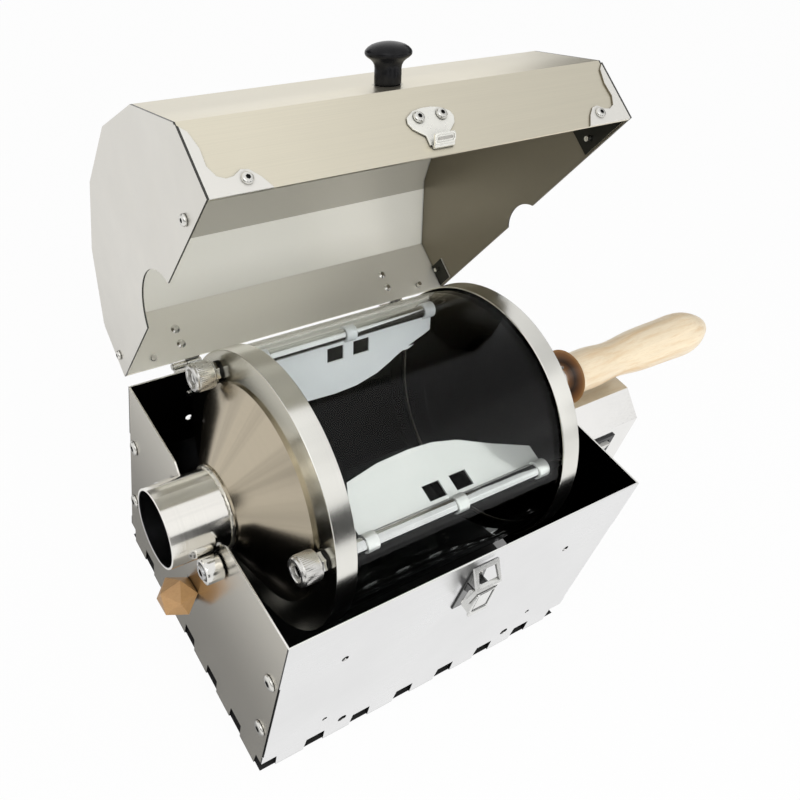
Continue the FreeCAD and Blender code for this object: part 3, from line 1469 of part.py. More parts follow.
def make_bush():
    """The grooved bush that sits in the end wall's notch and carries the drum shaft."""
    body = new_body("shaft_bush")
    bore = d.shaft_radius + d.running_fit
    groove_start = wall_inside - d.free_gap
    groove_end = half_length + d.free_gap
    start = groove_start - d.bush_side
    end = groove_end + d.bush_side
    revolve(body, [(start, bore), (start, d.bush_radius), (groove_start, d.bush_radius),
                   (groove_start, d.shaft_notch_radius), (groove_end, d.shaft_notch_radius),
                   (groove_end, d.bush_radius), (end, d.bush_radius), (end, bore)])
    lift_to_axis(body)


# ---------------------------------------------------------------- motor cover, switch and inlet

def lug_screw_spots():
    """The screws through the cover's lugs, as Y and Z."""
    reach = d.cover_half_width + d.lug_width / 2
    inset = d.lug_width / 2
    heights = (lug_bottom + inset, lug_bottom + d.lug_height - inset)
    return [(y, z) for y in (-reach, reach) for z in heights]


def make_motor_cover():
    """A sheet cover over the motor, open towards the box, with a lug at each side."""
    body = new_body("motor_cover")
    wide = d.cover_half_width
    flat = d.cover_flat_half_width
    sketch = new_sketch(body, "YZ_Plane", half_length)
    add_polygon(sketch, [(-wide, cover_bottom), (wide, cover_bottom), (wide, cover_shoulder),
                         (flat, cover_top), (-flat, cover_top), (-wide, cover_shoulder)])
    block = pad(body, sketch, d.cover_length)
    doc.recompute()
    open_faces = ["Face%d" % number for number, face in enumerate(block.Shape.Faces, start=1)
                  if face.normalAt(0, 0).x < -0.99]
    shell = body.newObject("PartDesign::Thickness", "motor_cover_walls")
    shell.Base = (block, open_faces)
    shell.Value = float(d.sheet)
    bind(shell, "Value", d.sheet)
    shell.Reversed = True
    shell.Join = "Intersection"
    lugs = new_sketch(body, "YZ_Plane", half_length)
    top = lug_bottom + d.lug_height
    add_rectangle(lugs, -wide - d.lug_width, -wide, lug_bottom, top)
    add_rectangle(lugs, wide, wide + d.lug_width, lug_bottom, top)
    pad(body, lugs, d.sheet)
    drilled = new_sketch(body, "YZ_Plane")
    for y, z in lug_screw_spots():
        add_circle(drilled, y, z, screw_hole)
    cut(body, drilled)
    window = new_sketch(body, "XZ_Plane", wide)
    side = d.switch_half_width - d.switch_border / 2
    rise = d.switch_half_height - d.switch_border / 2
    add_rectangle(window, switch_x - side, switch_x + side, switch_z - rise, switch_z + rise)
    cut(body, window, 2 * d.sheet)
    inlet = new_sketch(body, "XZ_Plane", -wide)
    add_circle(inlet, half_length + d.inlet_along, inlet_z, d.inlet_radius)
    cut(body, inlet, 2 * d.sheet, forward=True)
    spots = [(half_length + d.sheet, y, z) + TO_RIGHT for y, z in lug_screw_spots()]
    copies("cover_screws", small_screw, spots)


def make_switch():
    """The switch housing in the cover's front face and the rocker that tips in it."""
    housing = new_body("switch_bezel")
    side = d.switch_half_width - d.switch_border / 2
    rise = d.switch_half_height - d.switch_border / 2
    flange = new_sketch(housing, "XZ_Plane", d.cover_half_width)
    add_rectangle(flange, switch_x - d.switch_half_width, switch_x + d.switch_half_width,
                  switch_z - d.switch_half_height, switch_z + d.switch_half_height)
    pad(housing, flange, d.switch_flange)
    block = new_sketch(housing, "XZ_Plane", d.cover_half_width - d.switch_depth)
    add_rectangle(block, switch_x - side, switch_x + side, switch_z - rise, switch_z + rise)
    pad(housing, block, d.switch_depth)
    well = new_sketch(housing, "XZ_Plane", d.cover_half_width + d.switch_flange)
    well_side = d.rocker_half_width + d.free_gap
    well_rise = d.rocker_half_height + 2 * d.free_gap + d.switch_wall / 2
    add_rectangle(well, switch_x - well_side, switch_x + well_side, switch_z - well_rise,
                  switch_z + well_rise)
    cut(housing, well, d.switch_flange + d.switch_depth - 2 * d.switch_wall)
    sockets = new_sketch(housing, "YZ_Plane", switch_x)
    add_circle(sockets, rocker_y, switch_z, d.rocker_pin_radius + d.running_fit)
    cut(housing, sockets)

    rocker = new_body("switch_rocker")
    profile = new_sketch(rocker, "YZ_Plane")
    tall = d.rocker_half_height
    proud = d.rocker_pivot_in + d.switch_flange
    back = d.rocker_pin_radius * 2
    add_polygon(profile, [(-proud - d.switch_wall, -tall), (-proud, 0), (-proud - d.switch_wall, tall),
                          (-d.switch_wall, tall - d.switch_wall), (back, tall / 2), (back, -tall / 2),
                          (-d.switch_wall, d.switch_wall - tall)])
    pad(rocker, profile, 2 * d.rocker_half_width, symmetric=True)
    pins = new_sketch(rocker, "YZ_Plane")
    add_circle(pins, 0.0, 0.0, d.rocker_pin_radius)
    pad(rocker, pins, 2 * (d.rocker_half_width + d.free_gap + d.switch_wall), symmetric=True)
    place(rocker, switch_x, rocker_y, switch_z, (1, 0, 0), d.rocker_tilt)


def make_inlet():
    """The socket for the motor's power lead in the cover's back face."""
    body = new_body("power_inlet")
    depth = 2 * d.inlet_radius
    floor = depth - d.switch_flange
    contact = d.inlet_bore_radius / 3
    revolve(body, [(-depth, 0), (-depth, d.inlet_radius), (0, d.inlet_radius), (0, d.inlet_flange_radius),
                   (d.switch_flange, d.inlet_flange_radius), (d.switch_flange, d.inlet_bore_radius),
                   (-floor, d.inlet_bore_radius), (-floor, contact), (0, contact), (0, 0)])
    place(body, half_length + d.inlet_along, d.cover_half_width, inlet_z, *TO_BACK)


# ---------------------------------------------------------------- assembly

def check_model():
    """Stops if any object failed, any cut missed or any sub-part is not sound."""
    for item in doc.Objects:
        if "Invalid" in item.State or "Error" in item.State:
            raise RuntimeError("failed object: %s" % item.Name)
        if item.TypeId == "PartDesign::Pocket":
            before = item.BaseFeature.Shape.Volume
            if item.Shape.Volume >= before - 1e-6:
                raise RuntimeError("cut that removes nothing: %s" % item.Name)
    for node in nodes:
        if node.Shape.isNull() or not node.Shape.isValid() or not node.Shape.Solids:
            raise RuntimeError("unsound shape: %s" % node.Label)


def export_parts():
    os.makedirs("parts", exist_ok=True)
    for node in nodes:
        node.Shape.exportStep(os.path.join("parts", node.Label + ".step"))


small_screw = make_pan_screw("small_screw", d.screw_radius, d.screw_head_radius, d.screw_head_height,
                             d.screw_length)
wall_screw = make_pan_screw("wall_screw", d.screw_radius, d.wall_screw_head_radius, d.screw_head_height,
                            d.screw_length)
rivet = make_rivet()
make_box()
make_rollers()
make_grip_knob()
make_lid()
make_hinges()
make_latch_base()
make_latch_pin()
make_latch_lever()
make_latch_bail()
make_drum()
make_gears()
make_motor()
make_bush()
make_motor_cover()
make_switch()
make_inlet()
doc.recompute()
check_model()
export_parts()
print("%d nodes" % len(nodes))
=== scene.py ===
import json
import math
import bmesh
import bpy
import numpy as np
from mathutils import Matrix, Vector

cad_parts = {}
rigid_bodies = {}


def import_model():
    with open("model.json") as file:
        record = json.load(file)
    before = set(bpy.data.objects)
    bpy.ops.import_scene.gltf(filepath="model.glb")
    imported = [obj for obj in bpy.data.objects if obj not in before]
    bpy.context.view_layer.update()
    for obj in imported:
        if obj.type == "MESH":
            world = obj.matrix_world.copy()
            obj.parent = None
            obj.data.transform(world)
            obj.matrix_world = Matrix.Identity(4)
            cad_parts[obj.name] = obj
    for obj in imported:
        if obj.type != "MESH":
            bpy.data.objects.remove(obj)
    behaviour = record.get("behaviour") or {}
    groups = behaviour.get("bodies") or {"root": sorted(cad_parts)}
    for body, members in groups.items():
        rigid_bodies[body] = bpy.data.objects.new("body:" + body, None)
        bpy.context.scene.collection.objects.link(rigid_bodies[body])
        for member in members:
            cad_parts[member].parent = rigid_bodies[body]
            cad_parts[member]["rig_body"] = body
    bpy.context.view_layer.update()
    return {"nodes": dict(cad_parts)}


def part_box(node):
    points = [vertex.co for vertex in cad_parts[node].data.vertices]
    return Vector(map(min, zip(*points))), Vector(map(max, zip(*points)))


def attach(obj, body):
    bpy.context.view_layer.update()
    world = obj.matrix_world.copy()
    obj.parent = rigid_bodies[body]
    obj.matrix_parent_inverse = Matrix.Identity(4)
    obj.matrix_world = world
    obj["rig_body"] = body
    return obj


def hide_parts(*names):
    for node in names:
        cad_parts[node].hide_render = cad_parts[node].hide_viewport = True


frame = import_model()
NODES = frame["nodes"]
MM = 0.001
WELD_GAP = 1e-6  # points of one CAD solid that lie this close are the same point

# Places in metres. X runs along the drum towards its handle, Y to the back and Z up.
ORIGIN = (0, 0, 0)
X, Z, FORWARD = Vector((1, 0, 0)), Vector((0, 0, 1)), Vector((0, -1, 0))
DRUM_HEIGHT = 0.137  # the drum's line runs along X at this height
DRUM_MIDDLE = (0, 0, DRUM_HEIGHT)
HOOD_MIDDLE = (0, 0.0892, 0.2531)  # a point inside the open hood
HOOD_PIVOT = Vector((0, 0.1007, 0.1456))
HOOD_OPENING = -62.5  # degrees about X from the closed hood to the open one
HOOD_TURN = (Matrix.Translation(HOOD_PIVOT) @ Matrix.Rotation(math.radians(HOOD_OPENING), 4, "X")
             @ Matrix.Translation(-HOOD_PIVOT))


# ---------------------------------------------------------------- node trees

LOW, HIGH = 0.3, 0.7  # most of a noise texture's values lie between these
INWARD = -0.0005  # below this, a surface faces the middle that it is measured from
CREASE_SHUT, CREASE_OPEN = 0.35, 0.85  # the open shares at which a crease's painted shade is darkest and gone
CREASE_SAMPLES = 6


def dim(colour, factor):
    return tuple(c * factor for c in colour)


class Nodes:
    """A node tree and short ways to add to it."""

    def __init__(self, tree):
        self.tree = tree

    def add(self, kind, **values):
        node = self.tree.nodes.new("ShaderNode" + kind)
        for key, value in values.items():
            setattr(node, key, value)
        return node

    def join(self, source, target):
        self.tree.links.new(source, target)

    def math(self, operation, a, b=None):
        node = self.add("Math", operation=operation)
        for socket, value in zip(node.inputs, (a, b)):
            if value is None:
                continue
            if isinstance(value, (int, float)):
                socket.default_value = value
            else:
                self.join(value, socket)
        return node.outputs["Value"]

    def times(self, *values):
        product = values[0]
        for value in values[1:]:
            product = self.math("MULTIPLY", product, value)
        return product

    def less(self, value, limit):
        return self.math("LESS_THAN", value, limit)

    def more(self, value, limit):
        return self.math("GREATER_THAN", value, limit)

    def absolute(self, value):
        return self.math("ABSOLUTE", value)

    def spread(self, value, low, high, start=0.0, end=1.0, smooth=False):
        """Low to high as a value goes from start to end, and level beyond."""
        node = self.add("MapRange")
        for name, number in (("From Min", start), ("From Max", end), ("To Min", low), ("To Max", high)):
            node.inputs[name].default_value = number
        if smooth:
            node.interpolation_type = "SMOOTHSTEP"
        self.join(value, node.inputs["Value"])
        return node.outputs["Result"]

    def ray(self, kind):
        return self.add("LightPath").outputs["Is " + kind + " Ray"]

    def seen(self):
        """1 for what the camera sees, also in reflections and through glass, and 0 for what only lights."""
        return self.math("MAXIMUM", self.ray("Camera"),
                         self.math("MAXIMUM", self.ray("Glossy"), self.ray("Transmission")))


class Graph(Nodes):
    """A new material, its principled shader and the colour that has been painted on it so far."""

    def __init__(self, name, **values):
        self.material = bpy.data.materials.new(name)
        self.material.use_nodes = True
        super().__init__(self.material.node_tree)
        self.shader = self.tree.nodes["Principled BSDF"]
        self.base = None
        self.set(**values)

    def set(self, **values):
        for key, value in values.items():
            self.shader.inputs[key.replace("_", " ")].default_value = value
        return self

    def feed(self, name, value):
        self.join(value, self.shader.inputs[name])

    def position(self):
        return self.add("TexCoord").outputs["Object"]

    def axis(self, letter, vector=None):
        node = self.add("SeparateXYZ")
        self.join(vector or self.position(), node.inputs[0])
        return node.outputs[letter]

    def normal(self, letter):
        return self.axis(letter, self.add("TexCoord").outputs["Normal"])

    def lean(self, letter):
        """How much the surface faces along an axis, either way."""
        return self.absolute(self.normal(letter))

    def inward(self, centre, keep):
        """1 where the surface faces a middle point, measured along the kept axes."""
        away = self.add("VectorMath", operation="SUBTRACT")
        self.join(self.position(), away.inputs[0])
        away.inputs[1].default_value = centre
        masked = self.add("VectorMath", operation="MULTIPLY")
        self.join(away.outputs[0], masked.inputs[0])
        masked.inputs[1].default_value = keep
        product = self.add("VectorMath", operation="DOT_PRODUCT")
        self.join(masked.outputs[0], product.inputs[0])
        self.join(self.add("TexCoord").outputs["Normal"], product.inputs[1])
        return self.less(product.outputs["Value"], INWARD)

    def stretched(self, scale):
        mapping = self.add("Mapping")
        mapping.inputs["Scale"].default_value = scale
        self.join(self.position(), mapping.inputs["Vector"])
        return mapping.outputs["Vector"]

    def noise(self, scale, detail=3.0, size=(1, 1, 1), rough=0.5, warp=0.0, vector=None):
        node = self.add("TexNoise")
        node.inputs["Scale"].default_value = scale
        node.inputs["Detail"].default_value = detail
        node.inputs["Roughness"].default_value = rough
        node.inputs["Distortion"].default_value = warp
        self.join(vector or self.stretched(size), node.inputs["Vector"])
        return node.outputs["Fac"]

    def combined(self, x, y):
        node = self.add("CombineXYZ")
        self.join(x, node.inputs[0])
        self.join(y, node.inputs[1])
        return node.outputs[0]

    def ramp(self, value, stops):
        node = self.add("ValToRGB")
        elements = node.color_ramp.elements
        while len(elements) < len(stops):
            elements.new(0.5)
        for element, (place, colour) in zip(elements, stops):
            element.position = place
            element.color = (*colour, 1)
        self.join(value, node.inputs["Fac"])
        return node.outputs["Color"]

    def tones(self, noise, first, second):
        """Two tones over the values that a noise mostly has."""
        return self.ramp(noise, [(LOW, first), (HIGH, second)])

    def vary(self, noise, first, second):
        """Two numbers over the values that a noise mostly has."""
        return self.spread(noise, first, second, LOW, HIGH)

    def mix(self, factor, a, b, blend="MIX"):
        node = self.add("Mix", data_type="RGBA", blend_type=blend)
        for socket, value in ((node.inputs[0], factor), (node.inputs[6], a), (node.inputs[7], b)):
            if isinstance(value, (int, float)):
                socket.default_value = value
            elif isinstance(value, tuple):
                socket.default_value = (*value, 1)
            else:
                self.join(value, socket)
        return node.outputs[2]

    def bump(self, height, strength, distance):
        node = self.add("Bump")
        node.inputs["Strength"].default_value = strength
        node.inputs["Distance"].default_value = distance
        self.join(height, node.inputs["Height"])
        self.feed("Normal", node.outputs["Normal"])

    def colour(self, value):
        self.base = value
        self.feed("Base Color", value)

    def paint(self, mask, colour):
        """Lays a colour over the others where the mask is 1."""
        self.colour(self.mix(mask, self.base, colour))

    def paint_crease_shade(self, reach, dark=0.12):
        """Paints shade into the colour where another surface comes close, as in corners and under heads."""
        near = self.add("AmbientOcclusion")
        near.samples = CREASE_SAMPLES
        near.inputs["Distance"].default_value = reach
        closed = self.spread(near.outputs["AO"], 1.0, 0.0, CREASE_SHUT, CREASE_OPEN)
        shade = self.mix(1.0, self.base, (dark, dark, dark), "MULTIPLY")
        self.feed("Base Color", self.mix(closed, self.base, shade))


# ---------------------------------------------------------------- kinds of finish

GRAIN_X, GRAIN_Y = (14, 2600, 2600), (2600, 14, 2600)  # a brushed grain that runs along X or Y
GRAIN_CONTRAST, RING_CONTRAST = 0.035, 0.04
RING_SCALE, RING_STRETCH, BAND_SCALE = 700.0, 6.0, 3.2


def brushed(name, colour, rough, grain=GRAIN_X):
    """Sheet metal with a fine directional grain, faint clouding and rubbed patches."""
    g = Graph(name, Metallic=1.0)
    lines = g.noise(1.0, 3.0, grain, 0.6)
    clouds = g.noise(11.0, 3.0, rough=0.6)
    base = g.tones(lines, dim(colour, 1 - GRAIN_CONTRAST), dim(colour, 1 + GRAIN_CONTRAST))
    g.colour(g.mix(g.spread(clouds, 0.0, 0.6, 0.35, HIGH), base, dim(colour, 0.95)))
    g.feed("Roughness", g.math("ADD", g.vary(lines, rough - 0.03, rough + 0.03), g.vary(clouds, -0.03, 0.05)))
    g.bump(lines, 0.04, 0.00003)
    return g


def turned(name, colour, rough, reflection_bands=0.25):
    """Metal finished on a lathe about the drum's line: fine rings, and radial bands of painted reflection,
    strongest on the cone.
    """
    g = Graph(name, Metallic=1.0)
    position = g.position()
    y = g.axis("Y", position)
    z = g.math("SUBTRACT", g.axis("Z", position), DRUM_HEIGHT)
    g.radius = g.math("SQRT", g.math("ADD", g.times(y, y), g.times(z, z)))
    ring_place = g.combined(g.times(g.radius, RING_STRETCH), g.times(g.axis("X", position), RING_STRETCH))
    rings = g.noise(RING_SCALE, 3.0, vector=ring_place)
    angle = g.math("ARCTAN2", z, y)
    reflection_wedges = g.noise(BAND_SCALE, 5.0, vector=g.combined(g.math("COSINE", angle), g.math("SINE", angle)))
    base = g.tones(rings, dim(colour, 1 - RING_CONTRAST), dim(colour, 1 + RING_CONTRAST))
    g.colour(g.mix(g.spread(reflection_wedges, 0.0, reflection_bands, 0.45, HIGH), base, dim(colour, 0.7)))
    g.feed("Roughness", g.vary(rings, rough - 0.03, rough + 0.04))
    g.bump(rings, 0.015, 0.00001)
    return g


def plain_metal(name, colour, rough, spots=0.1, scale=300.0, crease_shade_reach=0.0):
    """Cast, pressed or plated metal: a fine grain, cloudy spots and painted shade where it meets its
    neighbours.
    """
    g = Graph(name, Metallic=1.0)
    grain = g.noise(scale)
    clouds = g.noise(60.0, 2.0)
    g.colour(g.mix(g.spread(clouds, 0.0, 1.0, 0.35, HIGH), colour, dim(colour, 1 - spots)))
    if crease_shade_reach:
        g.paint_crease_shade(crease_shade_reach, 0.1)
    g.feed("Roughness", g.vary(grain, rough - 0.04, rough + 0.08))
    g.bump(grain, 0.06, 0.00003)
    return g


def matt(name, rough, cloud, first, second, grain, strength, depth):
    """Moulded or pressed material in two close tones; cloud and grain are a noise's scale and detail."""
    g = Graph(name, Roughness=rough)
    g.colour(g.tones(g.noise(*cloud), first, second))
    g.bump(g.noise(*grain), strength, depth)
    return g


def wood(name, light, dark, streaks, length):
    """Pale wood: soft long streaks of a darker tone, short pores and fine fibres along the piece."""
    g = Graph(name, Coat_Weight=0.2, Coat_Roughness=0.3)
    broad = g.noise(1.0, 4.0, (length, 75, 75), 0.65, 0.6)
    middle = g.noise(1.0, 5.0, (length * 5, 420, 420), 0.7)
    fibres = g.noise(1.0, 4.0, (length * 12, 1800, 1800), 0.7)
    tone = g.ramp(broad, [(0.35, light), (0.52, dim(light, 0.93)), (0.75, dark)])
    tone = g.mix(g.spread(middle, 0.0, streaks, 0.5, 0.72), tone, dark)
    g.colour(g.mix(g.spread(fibres, 0.0, 0.3, 0.5, 0.75), tone, dim(dark, 0.75)))
    g.feed("Roughness", g.vary(fibres, 0.33, 0.5))
    g.bump(fibres, 0.12, 0.0001)
    return g


# ---------------------------------------------------------------- materials

# Painted shade: for narrow edges at corners and rims, and for the inside of the box.
EDGE_SHADE = (0.04, 0.04, 0.035)
BOX_INSIDE_SHADE = (0.035, 0.035, 0.035)
HOOD_RIM = 0.1188  # beyond this, the folded tabs of the hood's ends are painted dark as shade at their rim
HANDLE_END = 0.1536  # the wooden handle's face towards the drum ends here
HANDLE_RADIUS = 0.019
# The flanges' recess for the glass lies within this radius and this far from the glass's middle along X.
FLANGE_SEAT_RADIUS, FLANGE_SEAT_REACH, GLASS_MIDDLE_X = 0.0803, 0.0808, -0.0033


def box_sheet(name, colour, rough, grain, outward, faces):
    """A wall of the box: painted shade inside, and a painted tone on the faces along the given axes: shade on
    the narrow edges, highlight on the edges that face up and down.
    """
    g = brushed(name, colour, rough, grain)
    g.paint(g.inward(ORIGIN, outward), BOX_INSIDE_SHADE)
    for letter, limit, tone in faces:
        g.paint(g.more(g.lean(letter), limit), tone)
    g.paint_crease_shade(0.0025)
    return g


def make_hood_sheet():
    """The bent hood: beige outside as a painted warm reflection, pale inside as a painted bright reflection,
    with painted shade on its rear panel's top and foot.
    """
    g = brushed("hood_sheet", (0.78, 0.73, 0.595), 0.33)
    inside = g.inward(HOOD_MIDDLE, (0, 1, 1))
    rear_top_shade = g.times(inside, g.times(g.less(g.normal("Z"), 0.15), g.less(g.normal("Y"), -0.9)))
    rear_foot_shade = g.times(inside, g.more(g.normal("Z"), 0.6))
    # Painted light: a bright reflection inside, shade on the rear panel's top and foot, and shade on the end
    # edges.
    g.paint(inside, (0.98, 0.965, 0.88))
    g.paint(rear_top_shade, (0.52, 0.50, 0.43))
    g.paint(rear_foot_shade, (0.90, 0.88, 0.80))
    g.paint(g.more(g.lean("X"), 0.7), EDGE_SHADE)
    g.feed("Metallic", g.math("ADD", g.spread(inside, 1.0, 0.15), g.spread(rear_foot_shade, 0.0, 0.35)))
    g.paint_crease_shade(0.0022)
    return g


def make_hood_plate():
    """The hood's ends: painted shade inside and at the folded tabs' rim, and pale where the corner tabs fold
    over.
    """
    g = brushed("hood_plate", (0.74, 0.72, 0.67), 0.36, (900, 60, 60))
    folded = g.less(g.lean("X"), 0.5)
    out = g.absolute(g.axis("X"))
    g.paint(g.inward(ORIGIN, (1, 0, 0)), (0.27, 0.245, 0.195))
    g.paint(g.times(folded, g.more(out, HOOD_RIM)), EDGE_SHADE)
    g.paint(g.times(folded, g.less(out, HOOD_RIM)), (0.74, 0.725, 0.68))
    g.feed("Metallic", g.spread(folded, 1.0, 0.3))
    return g


def drum_shell(name, colour, rough, within, reflection_bands=0.25):
    """A round shell of the drum with painted shade inside."""
    g = turned(name, colour, rough, reflection_bands)
    g.paint(g.inward(DRUM_MIDDLE, (0, 1, 1)), within)
    return g


def make_flange_metal():
    """The drum's flanges: a bright rim, darker flat faces, and the seat behind the glass painted near-black
    as shade.
    """
    g = turned("flange_metal", (0.82, 0.81, 0.76), 0.2)
    from_middle = g.absolute(g.math("SUBTRACT", g.axis("X"), GLASS_MIDDLE_X))
    g.paint(g.more(g.lean("X"), 0.8), (0.52, 0.50, 0.42))
    g.paint(g.times(g.less(g.radius, FLANGE_SEAT_RADIUS), g.less(from_middle, FLANGE_SEAT_REACH)),
            (0.02, 0.02, 0.02))
    return g


def make_glass():
    g = Graph("drum_glass", IOR=1.18, Transmission_Weight=1.0)
    g.colour(g.tones(g.noise(12.0, 2.0), (0.93, 0.96, 0.95), (0.97, 0.98, 0.98)))
    g.feed("Roughness", g.spread(g.noise(40.0, 4.0), 0.0, 0.02, 0.4, 0.8))
    return g


def make_handle_wood():
    """The handle's wood, with painted shade on the end that faces the drum, darkest round the collar."""
    g = wood("handle_wood", (0.93, 0.79, 0.575), (0.74, 0.50, 0.25), 0.5, 9)
    beside = g.add("VectorMath", operation="MULTIPLY_ADD")
    g.join(g.position(), beside.inputs[0])
    beside.inputs[1].default_value = (0, 1, 1)
    beside.inputs[2].default_value = (0, 0, -DRUM_HEIGHT)
    radius = g.add("VectorMath", operation="LENGTH")
    g.join(beside.outputs[0], radius.inputs[0])
    end_shade = g.ramp(g.spread(radius.outputs["Value"], 0.0, 1.0, 0.0, HANDLE_RADIUS),
                     [(0.62, (0.06, 0.025, 0.01)), (0.86, (0.30, 0.125, 0.04)), (0.98, (0.52, 0.27, 0.10))])
    g.paint(g.less(g.axis("X"), HANDLE_END), end_shade)
    return g


# Near-black painted shade for recesses, sockets, shields and grooves.
def make_recess_shade():
    g = Graph("recess_painted_shade", Roughness=0.6)
    g.colour(g.tones(g.noise(900.0), (0.004, 0.004, 0.004), (0.010, 0.010, 0.010)))
    return g


# The long and end walls are one steel. The end walls' darker, warmer colour is painted shade; the narrow
# edges along X and Y are painted dark as shade, and the edges that face up and down pale as a painted
# highlight.
box_long = box_sheet("box_sheet_long", (0.80, 0.80, 0.80), 0.30, GRAIN_X, (0, 1, 0),
                     (("X", 0.7, (0.05, 0.05, 0.05)), ("Z", 0.8, (0.95, 0.95, 0.93))))
box_short = box_sheet("box_sheet_short", (0.63, 0.60, 0.53), 0.21, GRAIN_Y, (1, 0, 0),
                      (("Y", 0.5, (0.03, 0.03, 0.03)), ("Z", 0.6, (0.93, 0.92, 0.88))))
# Heat shields painted near-black as the shade and dark reflection inside the box.
shield_sheet = brushed("shield_sheet", (0.022, 0.022, 0.024), 0.34)
bearing_metal = turned("bearing_metal", (0.76, 0.75, 0.72), 0.14)
bolt_metal = plain_metal("bolt_metal", (0.50, 0.50, 0.50), 0.22, crease_shade_reach=0.0015)
gear_metal = plain_metal("gear_metal", (0.60, 0.58, 0.54), 0.32)
keeper_metal = plain_metal("keeper_metal", (0.93, 0.92, 0.86), 0.28, crease_shade_reach=0.003).set(Metallic=0.7)
knob_plastic = matt("knob_plastic", 0.26, (240.0,), (0.006, 0.006, 0.007), (0.012, 0.012, 0.013),
                    (500.0, 2.0), 0.03, 0.00003).set(Specular_IOR_Level=0.14)
latch_metal = plain_metal("latch_metal", (0.80, 0.80, 0.78), 0.14, crease_shade_reach=0.006)
nut_metal = plain_metal("nut_metal", (0.76, 0.75, 0.72), 0.28, 0.15, 700.0, crease_shade_reach=0.0012)
recess = make_recess_shade()
screw_metal = plain_metal("screw_metal", (0.74, 0.73, 0.69), 0.22, crease_shade_reach=0.0012)
weld_metal = plain_metal("weld_metal", (0.74, 0.71, 0.62), 0.3, 0.3, 600.0)

USES = {
    box_long: ("front_wall", "back_wall"),
    box_short: ("left_end_wall", "right_end_wall"),
    shield_sheet: ("front_heat_shield", "back_heat_shield"),
    make_hood_sheet(): ("lid_shell",),
    make_hood_plate(): ("lid_left_end", "lid_right_end"),
    screw_metal: ("wall_screws", "lid_screws", "cover_screws", "wooden_knob_screw", "lid_knob_screw",
                  "hinge_box_rivets", "hinge_lid_rivets", "latch_rivets", "hinge_left_box_leaf",
                  "hinge_right_box_leaf", "hinge_left_lid_leaf", "hinge_right_lid_leaf", "hinge_pins"),
    bolt_metal: ("roller_bolts", "roller_nuts"),
    latch_metal: ("latch_lever", "latch_bail", "latch_lever_pin"),
    # The latch base is painted dark grey as its shadow and dark reflection.
    plain_metal("latch_base_painted_shade", (0.17, 0.17, 0.17), 0.2, crease_shade_reach=0.004): ("latch_base",),
    keeper_metal: ("latch_keeper",),
    plain_metal("washer_dark", (0.03, 0.03, 0.03), 0.4): ("rod_washers",),
    plain_metal("chrome", (0.80, 0.80, 0.79), 0.10, crease_shade_reach=0.002): ("tie_rods", "rod_nuts"),
    bearing_metal: ("front_roller", "back_roller", "roller_inner_rings"),
    drum_shell("pipe_metal", (0.88, 0.86, 0.81), 0.16, (0.30, 0.30, 0.31)): ("discharge_pipe",),
    drum_shell("cone_metal", (0.49, 0.43, 0.33), 0.22, (0.03, 0.03, 0.03), 1.0): ("drum_cone",),
    make_flange_metal(): ("front_flange", "rear_flange"),
    # The back plate inside the drum is painted near-black as the drum's inner shade.
    turned("rear_plate_painted_shade", (0.014, 0.014, 0.015), 0.16): ("back_plate",),
    turned("collar_metal", (0.78, 0.77, 0.75), 0.12): ("handle_collar", "drum_shaft"),
    nut_metal: ("thumb_nuts",),
    gear_metal: ("drum_gear", "drive_pinion", "motor_shaft"),
    plain_metal("motor_metal", (0.55, 0.55, 0.54), 0.35): ("gear_motor",),
    turned("bush_metal", (0.45, 0.44, 0.42), 0.3): ("shaft_bush",),
    # vane_1 is the same polished steel as the other vanes; its nearly matt white is a painted bright
    # reflection.
    plain_metal("vane_1_painted_reflection", (0.97, 0.99, 1.0), 0.2, 0.02, 1600.0).set(Metallic=0.05): ("vane_1",),
    plain_metal("vane_metal", (0.90, 0.91, 0.88), 0.14, 0.02, 1600.0).set(Metallic=0.5): ("vane_2", "vane_3"),
    plain_metal("cover_metal", (0.83, 0.82, 0.80), 0.08, 0.02, 900.0): ("motor_cover",),
    make_glass(): ("glass_cylinder",),
    matt("fibre", 0.9, (900.0, 5.0), (0.10, 0.09, 0.07), (0.20, 0.18, 0.15),
         (1200.0, 4.0), 0.5, 0.0002): ("glass_gaskets",),
    knob_plastic: ("lid_knob",),
    matt("dark_plastic", 0.42, (300.0,), (0.012, 0.012, 0.013), (0.022, 0.022, 0.023),
         (1500.0, 2.0), 0.1, 0.00005): ("switch_bezel", "power_inlet"),
    matt("pale_plastic", 0.38, (200.0,), (0.62, 0.61, 0.58), (0.68, 0.67, 0.64),
         (1500.0, 2.0), 0.08, 0.00005): ("switch_rocker",),
    make_handle_wood(): ("wooden_handle",),
    wood("grip_wood", (0.50, 0.285, 0.115), (0.37, 0.185, 0.065), 0.3, 40): ("wooden_knob",),
}
GRAPH_OF = {node: graph for graph, names in USES.items() for node in names}
for node_name, node_graph in GRAPH_OF.items():
    node_mesh = NODES[node_name].data
    node_mesh.materials.clear()
    node_mesh.materials.append(node_graph.material)


# ---------------------------------------------------------------- meshes and pieces

HEAD_SHARE = 0.85  # points this far out, as a share of the largest radius, belong to a fastener's head
FLAT_ANGLE = 0.6  # degrees between faces that count as one
SHARP_ANGLE = 32  # degrees between faces whose edge is eased
EASED_STEPS = 2
HEXAGON = 6
KNURL = -0.22  # a lathe ring with teeth this deep, in millimetres


def welded(node):
    """A mesh of a CAD node whose faces share their points."""
    bm = bmesh.new()
    bm.from_mesh(NODES[node].data)
    bmesh.ops.remove_doubles(bm, verts=bm.verts, dist=WELD_GAP)
    return bm


